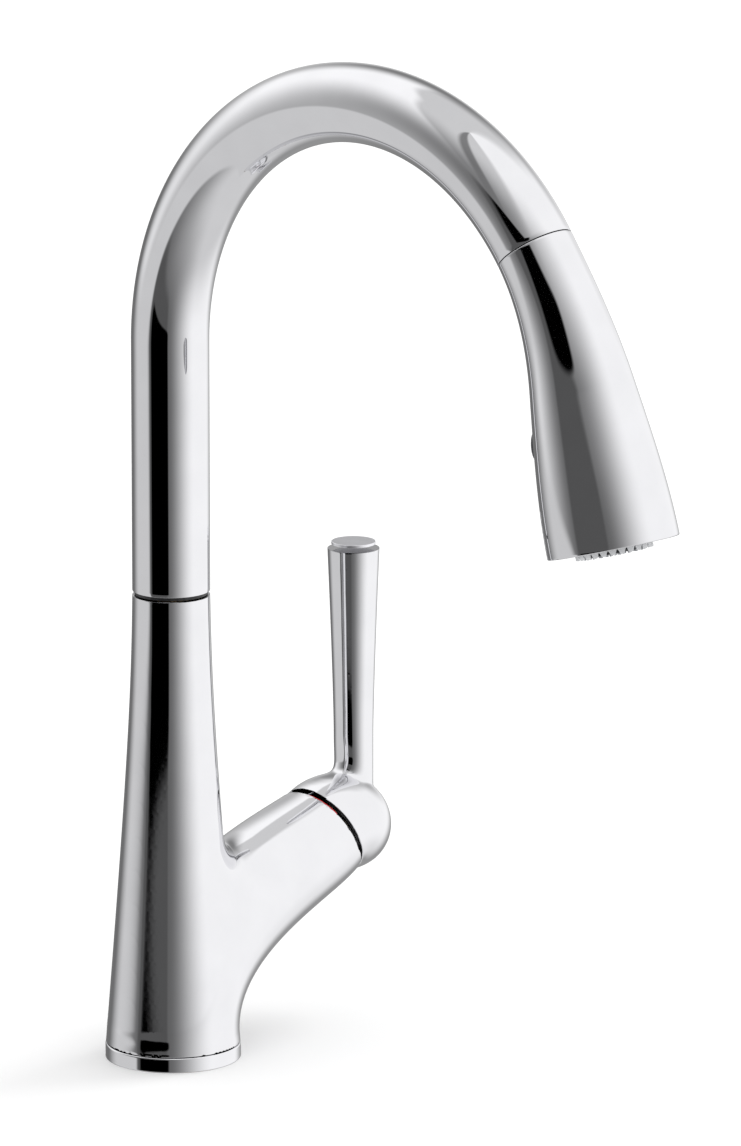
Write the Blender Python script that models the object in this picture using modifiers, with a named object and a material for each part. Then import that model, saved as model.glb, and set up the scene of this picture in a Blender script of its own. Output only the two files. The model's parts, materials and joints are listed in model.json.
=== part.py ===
"""Pull-down kitchen faucet with a side lever: every piece as its own solid, in metres, +Z up.

The origin is the centre of the base on the deck. The spout reaches along -Y, the valve arm rises along
+X, and what clamps the faucet to the deck lies below zero.
"""

from math import asin, cos, pi, radians, sin, sqrt

import bmesh
import bpy
from mathutils import Matrix, Vector

MM = 0.001

# Clearances
SEAT_GAP = 0.3 * MM  # between pieces that rest on or in each other
RUN_GAP = 0.4 * MM  # between pieces that turn or slide on each other
SEAM = 0.5 * MM  # the line seen between two chrome pieces

# Base and what clamps it to the deck
SHANK_RADIUS = 16.5 * MM
BASE_RADIUS = 27.0 * MM
BASE_HEIGHT = 6.0 * MM
GASKET_THICKNESS = 1.4 * MM
GASKET_INSET = 2.2 * MM  # from the base's edge, and much the same from the shank
SHANK_WALL = 1.8 * MM
SHANK_LENGTH = 64.0 * MM
SHANK_SOCKET_DEPTH = 12.0 * MM
DECK_THICKNESS = 30.0 * MM
WASHER_RADIUS = SHANK_RADIUS + 9.5 * MM
RUBBER_WASHER_THICKNESS = 3.0 * MM
STEEL_WASHER_THICKNESS = 1.6 * MM
NUT_HEIGHT = 11.0 * MM
CLAMP_SCREW_RADIUS = 2.5 * MM
CLAMP_SCREW_HEAD_RADIUS = 3.7 * MM
CLAMP_SCREW_HEAD_HEIGHT = 3.0 * MM
CLAMP_SCREW_REACH = 4.0 * MM  # below the nut
CLAMP_SCREW_COUNT = 2

# Column
BODY_FOOT_RADIUS = BASE_RADIUS - 0.2 * MM
BODY_TOP_Z = 190.4 * MM
BODY_MID_RADII = (15.9 * MM, 17.6 * MM)
BODY_MID_HEIGHTS = (150.0 * MM, 120.0 * MM)
COLUMN_BORE_RADIUS = 10.5 * MM
VALVE_ZONE_TOP = 62.0 * MM

# Valve arm
ARM_RISE = radians(27.0)
MOUTH_X = 83.8 * MM
MOUTH_Z = 75.7 * MM
MOUTH_RADIUS = 20.6 * MM
ARM_ROOT_LIFT = 47.0 * MM
ARM_END_REACH = 17.0 * MM
POCKET_RADIUS = 14.9 * MM
POCKET_DEPTH = 42.0 * MM
NUT_BORE_RADIUS = 17.0 * MM
NUT_BORE_DEPTH = 15.5 * MM
CARTRIDGE_NUT_HEIGHT = 7.2 * MM
PORT_RADIUS = 3.0 * MM
TUBE_CIRCLE = 11.1 * MM
TUBE_ANGLE = radians(50.0)
WATER_TUBE_RADIUS = 3.2 * MM
WATER_TUBE_WALL = 0.9 * MM
WATER_TUBE_TOP = 30.0 * MM

# Valve and handle movement
PIVOT_DEPTH = 25.0 * MM
DOME_RADIUS = 30.0 * MM
DOME_WALL = 1.5 * MM
HANDLE_GAP = 2.3 * MM
LEVER_TILT = radians(20.0)
LEVER_SWING = radians(45.0)
STEM_RADIUS = 3.0 * MM
STEM_PIN_RADIUS = 1.3 * MM
DISC_ARM = 5.5 * MM
DISC_SOCKET_DEPTH = 2.2 * MM

# Handle
LEVER_X = 103.6 * MM
LEVER_TOP_Z = 193.4 * MM
LEVER_TOP_RADIUS = 10.6 * MM
LEVER_WAIST_RADIUS = 8.0 * MM
LEVER_WAIST_Z = 93.5 * MM
LEVER_FLARE_Z = 115.0 * MM
ELBOW_REACH = 18.6 * MM
ELBOW_LIFT = 32.7 * MM
HUB_RADIUS = 20.4 * MM
CAP_RADIUS = 8.9 * MM
CAP_THICKNESS = 1.2 * MM
SET_SCREW_RADIUS = 2.0 * MM
SHIELD_SPREAD = radians(12.0)
SHIELD_THICKNESS = 1.2 * MM

# Spout
TUBE_RADIUS = 15.4 * MM
TUBE_WALL = 1.8 * MM
ARCH_RADIUS = 108.0 * MM
ARCH_Z = 291.0 * MM
ARCH_SWEEP = radians(144.0)
PIVOT_RADIUS = 12.0 * MM
PIVOT_BORE = 8.5 * MM
PIVOT_RISE = 38.0 * MM
PIVOT_SOCKET_DEPTH = 38.0 * MM
CLIP_THICKNESS = 1.0 * MM
CLIP_OPENING = 6.0 * MM
MAGNET_THICKNESS = 4.0 * MM
HOSE_RADIUS = 5.6 * MM

# Wand
WAND_TURN = radians(20.2)
WAND_BEND = 162.0 * MM
WAND_STRAIGHT = 60.5 * MM
WAND_MOUTH_RADIUS = 25.5 * MM
WAND_WALL = 1.8 * MM
NOSE_LENGTH = 16.0 * MM
FACE_RADIUS = 15.0 * MM
FACE_DROP = 2.3 * MM
AERATOR_RADIUS = 6.5 * MM
BUTTON_WIDTH = 24.0 * MM
BUTTON_HEIGHT = 16.0 * MM
BUTTON_RISE = 1.5 * MM
BUTTON_PLACE = 43.0 * MM  # up the wand from its mouth

# name: (colour, roughness, metallic)
FINISHES = {
    "chrome": ((0.80, 0.80, 0.82), 0.06, 1.0),
    "satin_chrome": ((0.55, 0.55, 0.57), 0.35, 1.0),
    "steel": ((0.56, 0.57, 0.58), 0.3, 1.0),
    "brass": ((0.72, 0.53, 0.26), 0.28, 1.0),
    "magnet": ((0.18, 0.18, 0.19), 0.4, 1.0),
    "black_plastic": ((0.015, 0.015, 0.016), 0.35, 0.0),
    "white_plastic": ((0.72, 0.73, 0.74), 0.4, 0.0),
    "grey_plastic": ((0.09, 0.09, 0.10), 0.4, 0.0),
    "rubber": ((0.02, 0.02, 0.02), 0.7, 0.0),
    "nozzle_rubber": ((0.35, 0.36, 0.38), 0.6, 0.0),
    "ceramic": ((0.80, 0.78, 0.74), 0.2, 0.0),
    "hose_braid": ((0.30, 0.31, 0.33), 0.5, 0.0),
    "red": ((0.55, 0.02, 0.02), 0.35, 0.0),
    "blue": ((0.02, 0.05, 0.30), 0.35, 0.0),
}


def new_collection(name):
    made = bpy.data.collections.new(name)
    bpy.context.scene.collection.children.link(made)
    return made


for old in list(bpy.data.objects):
    bpy.data.objects.remove(old, do_unlink=True)
PARTS = new_collection("pull_down_kitchen_faucet")
CUTTERS = new_collection("cutters")


# Shapes


def finish_material(name):
    made = bpy.data.materials.get(name)
    if made is None:
        colour, roughness, metallic = FINISHES[name]
        made = bpy.data.materials.new(name)
        made.use_nodes = True
        shader = made.node_tree.nodes["Principled BSDF"]
        shader.inputs["Base Color"].default_value = (*colour, 1.0)
        shader.inputs["Roughness"].default_value = roughness
        shader.inputs["Metallic"].default_value = metallic
    return made


def add_object(name, mesh, finish, frame):
    """A part with this finish or, where finish is None, a hidden cutter."""
    made = bpy.data.objects.new(name, mesh)
    made.matrix_world = frame
    if finish is None:
        CUTTERS.objects.link(made)
        made.hide_render = True
        made.display_type = "WIRE"
    else:
        PARTS.objects.link(made)
        mesh.materials.append(finish_material(finish))
    return made


def as_mesh(rough, name):
    """The evaluated shape of a temporary object as a closed, smooth-shaded mesh."""
    bpy.context.view_layer.update()
    mesh = bpy.data.meshes.new_from_object(rough.evaluated_get(bpy.context.evaluated_depsgraph_get()))
    bpy.data.objects.remove(rough, do_unlink=True)
    shape = bmesh.new()
    shape.from_mesh(mesh)
    bmesh.ops.remove_doubles(shape, verts=shape.verts, dist=1e-6)
    shape.to_mesh(mesh)
    shape.free()
    mesh.name = name
    mesh.materials.clear()
    mesh.shade_smooth()
    mesh.set_sharp_from_angle(angle=radians(35))
    return mesh


def turned(name, outline, finish, frame=Matrix(), steps=16):
    """(radius, height) points turned about the frame's Z axis. They run down the outer side, and up the
    inner side where the outline doesn't start and end on the axis."""
    profile = bpy.data.meshes.new(name)
    count = len(outline)
    edges = [(i, i + 1) for i in range(count - 1)]
    if min(radius for radius, _ in outline) > 0:
        edges.append((count - 1, 0))
    profile.from_pydata([(radius, 0.0, height) for radius, height in outline], edges, [])
    rough = bpy.data.objects.new(name, profile)
    CUTTERS.objects.link(rough)
    screw = rough.modifiers.new("Turn", "SCREW")
    screw.steps = screw.render_steps = steps
    screw.use_merge_vertices = True
    screw.merge_threshold = 1e-5
    return add_object(name, as_mesh(rough, name), finish, frame)


def rod(name, radius, low, high, finish, frame=Matrix(), steps=16):
    return turned(name, [(0, high), (radius, high), (radius, low), (0, low)], finish, frame, steps)


def ring(name, outer, inner, low, high, finish, frame=Matrix(), steps=16):
    outline = [(outer, high), (outer, low), (inner, low), (inner, high)]
    return turned(name, outline, finish, frame, steps)


def horn(name, spine, radii, finish, frame=Matrix(), sides=16):
    """A round bar along the spine's points, with the radius given at each one and flat ends."""
    curve = bpy.data.curves.new(name, "CURVE")
    curve.dimensions = "3D"
    curve.bevel_depth = 1.0
    curve.bevel_resolution = sides // 2 - 2
    curve.use_fill_caps = True
    curve.twist_mode = "MINIMUM"
    line = curve.splines.new("POLY")
    line.points.add(len(spine) - 1)
    for point, place, radius in zip(line.points, spine, radii):
        point.co = (*place, 1.0)
        point.radius = radius
    rough = bpy.data.objects.new(name, curve)
    CUTTERS.objects.link(rough)
    return add_object(name, as_mesh(rough, name), finish, frame)


def slab(name, outline, low, high, finish, frame=Matrix()):
    """A flat outline of (x, y) points in the frame's XY plane, thick from low to high."""
    curve = bpy.data.curves.new(name, "CURVE")
    curve.dimensions = "2D"
    curve.fill_mode = "BOTH"
    curve.extrude = (high - low) / 2
    line = curve.splines.new("POLY")
    line.points.add(len(outline) - 1)
    for point, (x, y) in zip(line.points, outline):
        point.co = (x, y, 0.0, 1.0)
    line.use_cyclic_u = True
    rough = bpy.data.objects.new(name, curve)
    CUTTERS.objects.link(rough)
    middle = Matrix.Translation((0, 0, (low + high) / 2))
    return add_object(name, as_mesh(rough, name), finish, frame @ middle)


def box(name, size, finish, frame=Matrix()):
    shape = bmesh.new()
    bmesh.ops.create_cube(shape, size=1.0, matrix=Matrix.Diagonal((*size, 1.0)))
    mesh = bpy.data.meshes.new(name)
    shape.to_mesh(mesh)
    shape.free()
    return add_object(name, mesh, finish, frame)


def combine(target, tool, operation, folded=False):
    """Boolean step. A folded target is one whose own surface crosses itself, as inside a tight bend."""
    step = target.modifiers.new(tool.name, "BOOLEAN")
    step.operation = operation
    step.object = tool
    step.use_self = folded


def cut(target, *tools):
    for tool in tools:
        combine(target, tool, "DIFFERENCE")


def arc(radius, start, end, count, centre=(0.0, 0.0)):
    """count + 1 points round the centre, from angle start to angle end."""
    angles = [start + (end - start) * i / count for i in range(count + 1)]
    return [(centre[0] + radius * cos(a), centre[1] + radius * sin(a)) for a in angles]


def bezier(ends, count):
    """count + 1 points along the cubic Bezier curve with these four control points."""
    made = []
    for i in range(count + 1):
        t = i / count
        weights = ((1 - t) ** 3, 3 * t * (1 - t) ** 2, 3 * t * t * (1 - t), t**3)
        made.append(tuple(sum(w * p[k] for w, p in zip(weights, ends)) for k in range(len(ends[0]))))
    return made


def ease(x):
    x = min(max(x, 0.0), 1.0)
    return x * x * (3 - 2 * x)


# Frames that the pieces are built in

UP = Vector((0, 0, 1))
ARM_AXIS = Vector((cos(ARM_RISE), 0, sin(ARM_RISE)))
MOUTH = Vector((MOUTH_X, 0, MOUTH_Z))
# Z runs out along the arm from its mouth, Y is the row's Y, and X points down
ARM_FRAME = Matrix.Translation(MOUTH) @ Matrix.Rotation(pi / 2 - ARM_RISE, 4, "Y")
PIVOT = MOUTH - ARM_AXIS * PIVOT_DEPTH
PIVOT_FRAME = Matrix.Translation(PIVOT) @ Matrix.Rotation(pi / 2 - ARM_RISE, 4, "Y")
DOCK_TILT = pi - ARCH_SWEEP
WAND_LENGTH = WAND_BEND * WAND_TURN + WAND_STRAIGHT


def spout_place(back):
    """The point of the spout's centre line this far back from its end, within the arch."""
    angle = ARCH_SWEEP - back / ARCH_RADIUS
    return Vector((0, -ARCH_RADIUS * (1 - cos(angle)), ARCH_Z + ARCH_RADIUS * sin(angle)))


def spout_frame(back):
    return Matrix.Translation(spout_place(back)) @ Matrix.Rotation(-DOCK_TILT - back / ARCH_RADIUS, 4, "X")


def wand_place(along):
    """The point of the wand's centre line this far from the seam, and the line's tilt there."""
    bend = min(along / WAND_BEND, WAND_TURN)
    tilt = DOCK_TILT - bend
    straight = along - bend * WAND_BEND
    y = WAND_BEND * (cos(tilt) - cos(DOCK_TILT)) + straight * sin(tilt)
    z = WAND_BEND * (sin(DOCK_TILT) - sin(tilt)) + straight * cos(tilt)
    return spout_place(0) - Vector((0, y, z)), tilt


def wand_frame(along):
    """Z runs back up the wand, and Y faces the column."""
    place, tilt = wand_place(along)
    return Matrix.Translation(place) @ Matrix.Rotation(-tilt, 4, "X")


def square_ended(line, first, last):
    """The line with a short straight run at each end, so that a horn's end faces stand square to it."""
    run = 0.6 * MM
    start = line[0] - first * run if first else line[0]
    end = line[-1] + last * run if last else line[-1]
    return ([start] if first else []) + line + ([end] if last else [])


def wand_radius(along):
    return TUBE_RADIUS + (WAND_MOUTH_RADIUS - TUBE_RADIUS) * ease(along / WAND_LENGTH)


DOCK_FRAME = wand_frame(0)
DOCK_AXIS = Vector((0, sin(DOCK_TILT), cos(DOCK_TILT)))
OUTLET_FRAME = wand_frame(WAND_LENGTH)


# Base and deck fixings


def base_parts():
    socket = SHANK_RADIUS + 2 * SEAT_GAP
    recess_inner = SHANK_RADIUS + GASKET_INSET + 0.1 * MM
    recess_outer = BASE_RADIUS - GASKET_INSET
    outline = [
        (BASE_RADIUS - 0.4 * MM, BASE_HEIGHT),
        (BASE_RADIUS, BASE_HEIGHT - 0.4 * MM),
        (BASE_RADIUS, 0),
        (recess_outer + SEAT_GAP, 0),
        (recess_outer + SEAT_GAP, GASKET_THICKNESS + SEAT_GAP),
        (recess_inner - SEAT_GAP, GASKET_THICKNESS + SEAT_GAP),
        (recess_inner - SEAT_GAP, 0),
        (socket, 0),
        (socket, BASE_HEIGHT),
    ]
    base = turned("base_ring", outline, "chrome", steps=32)
    gasket = ring("base_gasket", recess_outer, recess_inner, 0, GASKET_THICKNESS, "rubber", steps=24)

    top = BASE_HEIGHT + SHANK_SOCKET_DEPTH
    bore = SHANK_RADIUS - SHANK_WALL
    shank = ring("mounting_shank", SHANK_RADIUS, bore, -SHANK_LENGTH, top, "brass", steps=24)
    hole = SHANK_RADIUS + SEAT_GAP
    under = -DECK_THICKNESS
    low = under - RUBBER_WASHER_THICKNESS
    rubber = ring("rubber_washer", WASHER_RADIUS, hole, low, under, "rubber", steps=24)
    under = low - SEAT_GAP
    low = under - STEEL_WASHER_THICKNESS
    steel = ring("steel_washer", WASHER_RADIUS, hole, low, under, "steel", steps=24)
    under = low - SEAT_GAP
    nut = ring("mounting_nut", WASHER_RADIUS, hole, under - NUT_HEIGHT, under, "brass", steps=24)
    made = [base, gasket, shank, rubber, steel, nut]
    circle = (hole + WASHER_RADIUS) / 2
    for i in range(CLAMP_SCREW_COUNT):
        angle = 2 * pi * i / CLAMP_SCREW_COUNT + pi / 4
        frame = Matrix.Translation((circle * cos(angle), circle * sin(angle), under))
        name = f"clamp_screw_hole_{i + 1}"
        over = NUT_HEIGHT / 2
        cut(nut, rod(name, CLAMP_SCREW_RADIUS + SEAT_GAP, -NUT_HEIGHT - over, over, None, frame, 16))
        low = -NUT_HEIGHT - CLAMP_SCREW_REACH
        outline = [
            (0, -SEAT_GAP),
            (CLAMP_SCREW_RADIUS, -SEAT_GAP),
            (CLAMP_SCREW_RADIUS, low),
            (CLAMP_SCREW_HEAD_RADIUS, low),
            (CLAMP_SCREW_HEAD_RADIUS, low - CLAMP_SCREW_HEAD_HEIGHT),
            (0, low - CLAMP_SCREW_HEAD_HEIGHT),
        ]
        made.append(turned(f"clamp_screw_{i + 1}", outline, "steel", frame, 16))
    return made


# Body with its passages


def column_outline():
    foot = BASE_HEIGHT + SEAT_GAP
    ends = (
        (TUBE_RADIUS, BODY_TOP_Z),
        (BODY_MID_RADII[0], BODY_MID_HEIGHTS[0]),
        (BODY_MID_RADII[1], BODY_MID_HEIGHTS[1]),
        (BODY_FOOT_RADIUS, foot),
    )
    return [(0, BODY_TOP_Z)] + bezier(ends, 9) + [(0, foot)]


def water_tube_places():
    """Where the hot, cold and mixed water tubes stand about the column's axis."""
    angles = {"hot_inlet_tube": TUBE_ANGLE, "cold_inlet_tube": -TUBE_ANGLE, "outlet_tube": 0.0}
    return {name: (TUBE_CIRCLE * cos(a), TUBE_CIRCLE * sin(a)) for name, a in angles.items()}


def port_places():
    """The same three in the arm's frame, where the passages reach the cartridge's floor."""
    side = TUBE_CIRCLE * sin(TUBE_ANGLE)
    return {"hot_inlet_tube": (0.0, side), "cold_inlet_tube": (0.0, -side), "outlet_tube": (7.0 * MM, 0.0)}


def port_cutters(target, owner):
    for name, (x, y) in port_places().items():
        frame = ARM_FRAME @ Matrix.Translation((x, y, 0))
        low = -POCKET_DEPTH - 4 * MM
        cut(target, rod(f"{owner}_port_{name}", PORT_RADIUS, low, low + 18 * MM, None, frame, 12))


def faucet_body():
    body = turned("faucet_body", column_outline(), "chrome", steps=32)
    start = Vector((0, 0, BASE_HEIGHT + 2.4 * MM))
    ends = (start, start + UP * ARM_ROOT_LIFT, MOUTH - ARM_AXIS * ARM_END_REACH, MOUTH)
    count = 10
    root = BODY_FOOT_RADIUS - 0.25 * MM
    radii = [root + (MOUTH_RADIUS - root) * i / count for i in range(count + 1)]
    line = square_ended([Vector(place) for place in bezier(ends, count)], UP, None)
    combine(body, horn("arm_outside", line, radii[:1] + radii, None, sides=28), "UNION")

    # Hose way down the column, with a socket at each end
    socket_top = BASE_HEIGHT + SHANK_SOCKET_DEPTH + SEAT_GAP
    pivot_foot = BODY_TOP_Z - PIVOT_SOCKET_DEPTH - SEAT_GAP
    ring_radius = TUBE_RADIUS - 0.8 * MM
    over = 5 * MM
    outline = [
        (0, BODY_TOP_Z + over),
        (ring_radius + SEAT_GAP, BODY_TOP_Z + over),
        (ring_radius + SEAT_GAP, BODY_TOP_Z - 1.4 * MM),
        (PIVOT_RADIUS + 2 * SEAT_GAP, BODY_TOP_Z - 1.4 * MM),
        (PIVOT_RADIUS + 2 * SEAT_GAP, pivot_foot),
        (COLUMN_BORE_RADIUS, pivot_foot),
        (COLUMN_BORE_RADIUS, VALVE_ZONE_TOP),
        (HOSE_RADIUS + 2 * RUN_GAP, VALVE_ZONE_TOP),
        (HOSE_RADIUS + 2 * RUN_GAP, socket_top),
        (SHANK_RADIUS + SEAT_GAP, socket_top),
        (SHANK_RADIUS + SEAT_GAP, -over),
        (0, -over),
    ]
    cut(body, turned("hose_way", outline, None, steps=24))

    # Cartridge pocket, wider at the mouth for the nut, and wider again for the indicator
    outline = [
        (0, over),
        (NUT_BORE_RADIUS + 2.1 * MM, over),
        (NUT_BORE_RADIUS + 2.1 * MM, -1.5 * MM),
        (NUT_BORE_RADIUS, -1.5 * MM),
        (NUT_BORE_RADIUS, -NUT_BORE_DEPTH),
        (POCKET_RADIUS, -NUT_BORE_DEPTH),
        (POCKET_RADIUS, -POCKET_DEPTH),
        (0, -POCKET_DEPTH),
    ]
    cut(body, turned("cartridge_pocket", outline, None, ARM_FRAME, 24))

    # Water passages: a socket up from below for each tube, then a slope up to the cartridge
    for name, (x, y) in port_places().items():
        foot_x, foot_y = water_tube_places()[name]
        slope_top = ARM_FRAME @ Vector((x, y, -POCKET_DEPTH + 1 * MM))
        run = (slope_top.x - foot_x) / cos(ARM_RISE)
        frame = ARM_FRAME @ Matrix.Translation((x, y, -POCKET_DEPTH + 1 * MM))
        slope = rod(f"slope_{name}", PORT_RADIUS, -run, 0, None, frame, 12)
        meet = slope_top.z - run * sin(ARM_RISE)
        place = Matrix.Translation((foot_x, foot_y, 0))
        hole = WATER_TUBE_RADIUS + SEAT_GAP
        riser = rod(f"riser_{name}", hole, BASE_HEIGHT, meet + PORT_RADIUS / 2, None, place, 12)
        cut(body, slope, riser)
    return body


def water_tubes():
    made = []
    for name, (x, y) in water_tube_places().items():
        place = Matrix.Translation((x, y, 0))
        inner = WATER_TUBE_RADIUS - WATER_TUBE_WALL
        low = -SHANK_LENGTH - 10 * MM
        made.append(ring(name, WATER_TUBE_RADIUS, inner, low, WATER_TUBE_TOP - 4 * MM, "brass", place, 16))
    return made


# Valve cartridge


def cartridge_parts():
    floor = -POCKET_DEPTH + SEAT_GAP
    seal = rod("cartridge_seal", POCKET_RADIUS - 1.2 * MM, floor, floor + 1.5 * MM, "rubber", ARM_FRAME)
    port_cutters(seal, "seal")
    low = floor + 1.5 * MM + SEAT_GAP
    outer = POCKET_RADIUS - SEAT_GAP
    inner = outer - 2.3 * MM
    shelf = low + 4 * MM
    top = -NUT_BORE_DEPTH - SEAT_GAP
    outline = [(0, shelf), (inner, shelf), (inner, top), (outer, top), (outer, low), (0, low)]
    housing = turned("cartridge_housing", outline, "white_plastic", ARM_FRAME)
    port_cutters(housing, "housing")
    disc_low = shelf + SEAT_GAP
    fixed = rod("fixed_disc", inner - SEAT_GAP, disc_low, disc_low + 3 * MM, "ceramic", ARM_FRAME)
    port_cutters(fixed, "fixed_disc")
    disc_low += 3 * MM + SEAT_GAP
    travel = DISC_ARM * LEVER_TILT
    disc_top = disc_low + 3.4 * MM
    disc_radius = inner - SEAT_GAP - travel
    moving = rod("mixing_disc", disc_radius, disc_low, disc_top, "ceramic", ARM_FRAME)
    socket = STEM_RADIUS + 2 * RUN_GAP
    over = disc_top + DISC_SOCKET_DEPTH
    cut(moving, rod("disc_socket", socket, disc_top - DISC_SOCKET_DEPTH, over, None, ARM_FRAME, 16))

    rotor_low = disc_top + SEAT_GAP
    rotor_radius = inner - RUN_GAP
    rotor = rod("valve_rotor", rotor_radius, rotor_low, top, "black_plastic", ARM_FRAME)
    reach = (top + PIVOT_DEPTH) * sin(LEVER_TILT) + STEM_RADIUS + RUN_GAP
    back = STEM_RADIUS + 2.2 * MM
    width = 2 * (STEM_RADIUS + RUN_GAP)
    slot_frame = ARM_FRAME @ Matrix.Translation(((reach - back) / 2, 0, (rotor_low + top) / 2))
    cut(rotor, box("rotor_slot", (reach + back, width, (top - rotor_low) * 1.5), None, slot_frame))
    pin_frame = PIVOT_FRAME @ Matrix.Rotation(pi / 2, 4, "X")
    pin_hole = STEM_PIN_RADIUS + SEAT_GAP
    over = rotor_radius * 1.2
    cut(rotor, rod("rotor_pin_hole", pin_hole, -over, over, None, pin_frame, 12))
    half = rotor_radius - 1 * MM
    pin = rod("stem_pin", STEM_PIN_RADIUS, -half, half, "steel", pin_frame, 12)

    low = -NUT_BORE_DEPTH
    top = low + CARTRIDGE_NUT_HEIGHT
    nut_inner = reach + 3.4 * MM
    nut = ring("cartridge_nut", NUT_BORE_RADIUS - SEAT_GAP, nut_inner, low, top, "brass", ARM_FRAME, 32)
    return seal, housing, fixed, moving, rotor, pin, nut


def valve_stem():
    end = -PIVOT_DEPTH - DISC_ARM + 0.2 * MM
    stem = rod("valve_stem", STEM_RADIUS - 0.2 * MM, end, 20 * MM, "steel", ARM_FRAME, 16)
    pin_frame = PIVOT_FRAME @ Matrix.Rotation(pi / 2, 4, "X")
    cut(stem, rod("stem_pin_hole", STEM_PIN_RADIUS + SEAT_GAP, -8 * MM, 8 * MM, None, pin_frame, 12))
    return stem


def bonnet_parts():
    """The dome over the cartridge, its fan-shaped slot for the stem, and the indicator in the arm's mouth."""
    skirt = NUT_BORE_RADIUS - 0.5 * MM
    low = -NUT_BORE_DEPTH + CARTRIDGE_NUT_HEIGHT + SEAT_GAP
    inner_radius = DOME_RADIUS - DOME_WALL
    outer_arc = arc(DOME_RADIUS, pi / 2, pi / 2 - asin(skirt / DOME_RADIUS), 5, (0, -PIVOT_DEPTH))
    inner_skirt = skirt - DOME_WALL
    inner_arc = arc(inner_radius, pi / 2 - asin(inner_skirt / inner_radius), pi / 2, 5, (0, -PIVOT_DEPTH))
    outline = [(max(r, 0), z) for r, z in outer_arc + [(skirt, low), (inner_skirt, low)] + inner_arc]
    outline[0] = (0, outline[0][1])
    outline[-1] = (0, outline[-1][1])
    dome = turned("bonnet_dome", outline, "chrome", ARM_FRAME, 24)
    hole = STEM_RADIUS + RUN_GAP
    reach = (DOME_RADIUS + 1 * MM) * sin(LEVER_TILT) + hole
    spread = LEVER_SWING + asin(hole / reach)
    fan = arc(reach, -spread, spread, 8) + arc(hole + 0.6 * MM, pi / 2, 3 * pi / 2, 6)
    cut(dome, slab("stem_slot", fan, -12 * MM, 12 * MM, None, ARM_FRAME))

    outer = NUT_BORE_RADIUS + 1.8 * MM
    outline = [
        (outer, 0.1 * MM),
        (outer, -1.2 * MM),
        (NUT_BORE_RADIUS + 0.3 * MM, -1.2 * MM),
        (NUT_BORE_RADIUS + 0.3 * MM, 1.6 * MM),
        (NUT_BORE_RADIUS + 0.7 * MM, 1.6 * MM),
        (NUT_BORE_RADIUS + 0.7 * MM, 0.1 * MM),
    ]
    indicator = turned("indicator_ring", outline, "black_plastic", ARM_FRAME, 24)
    made = [dome, indicator]
    for name, finish, turn in (("hot_mark", "red", 1), ("cold_mark", "blue", -1)):
        points = []
        for i in range(9):
            angle = pi + turn * radians(4 + 44 * i / 8)
            radius = NUT_BORE_RADIUS + 1.35 * MM
            points.append(Vector((radius * cos(angle), radius * sin(angle), 0.8 * MM)))
        made.append(horn(name, points, [0.42 * MM] * len(points), finish, ARM_FRAME, 8))
    return made


# Handle


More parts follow.
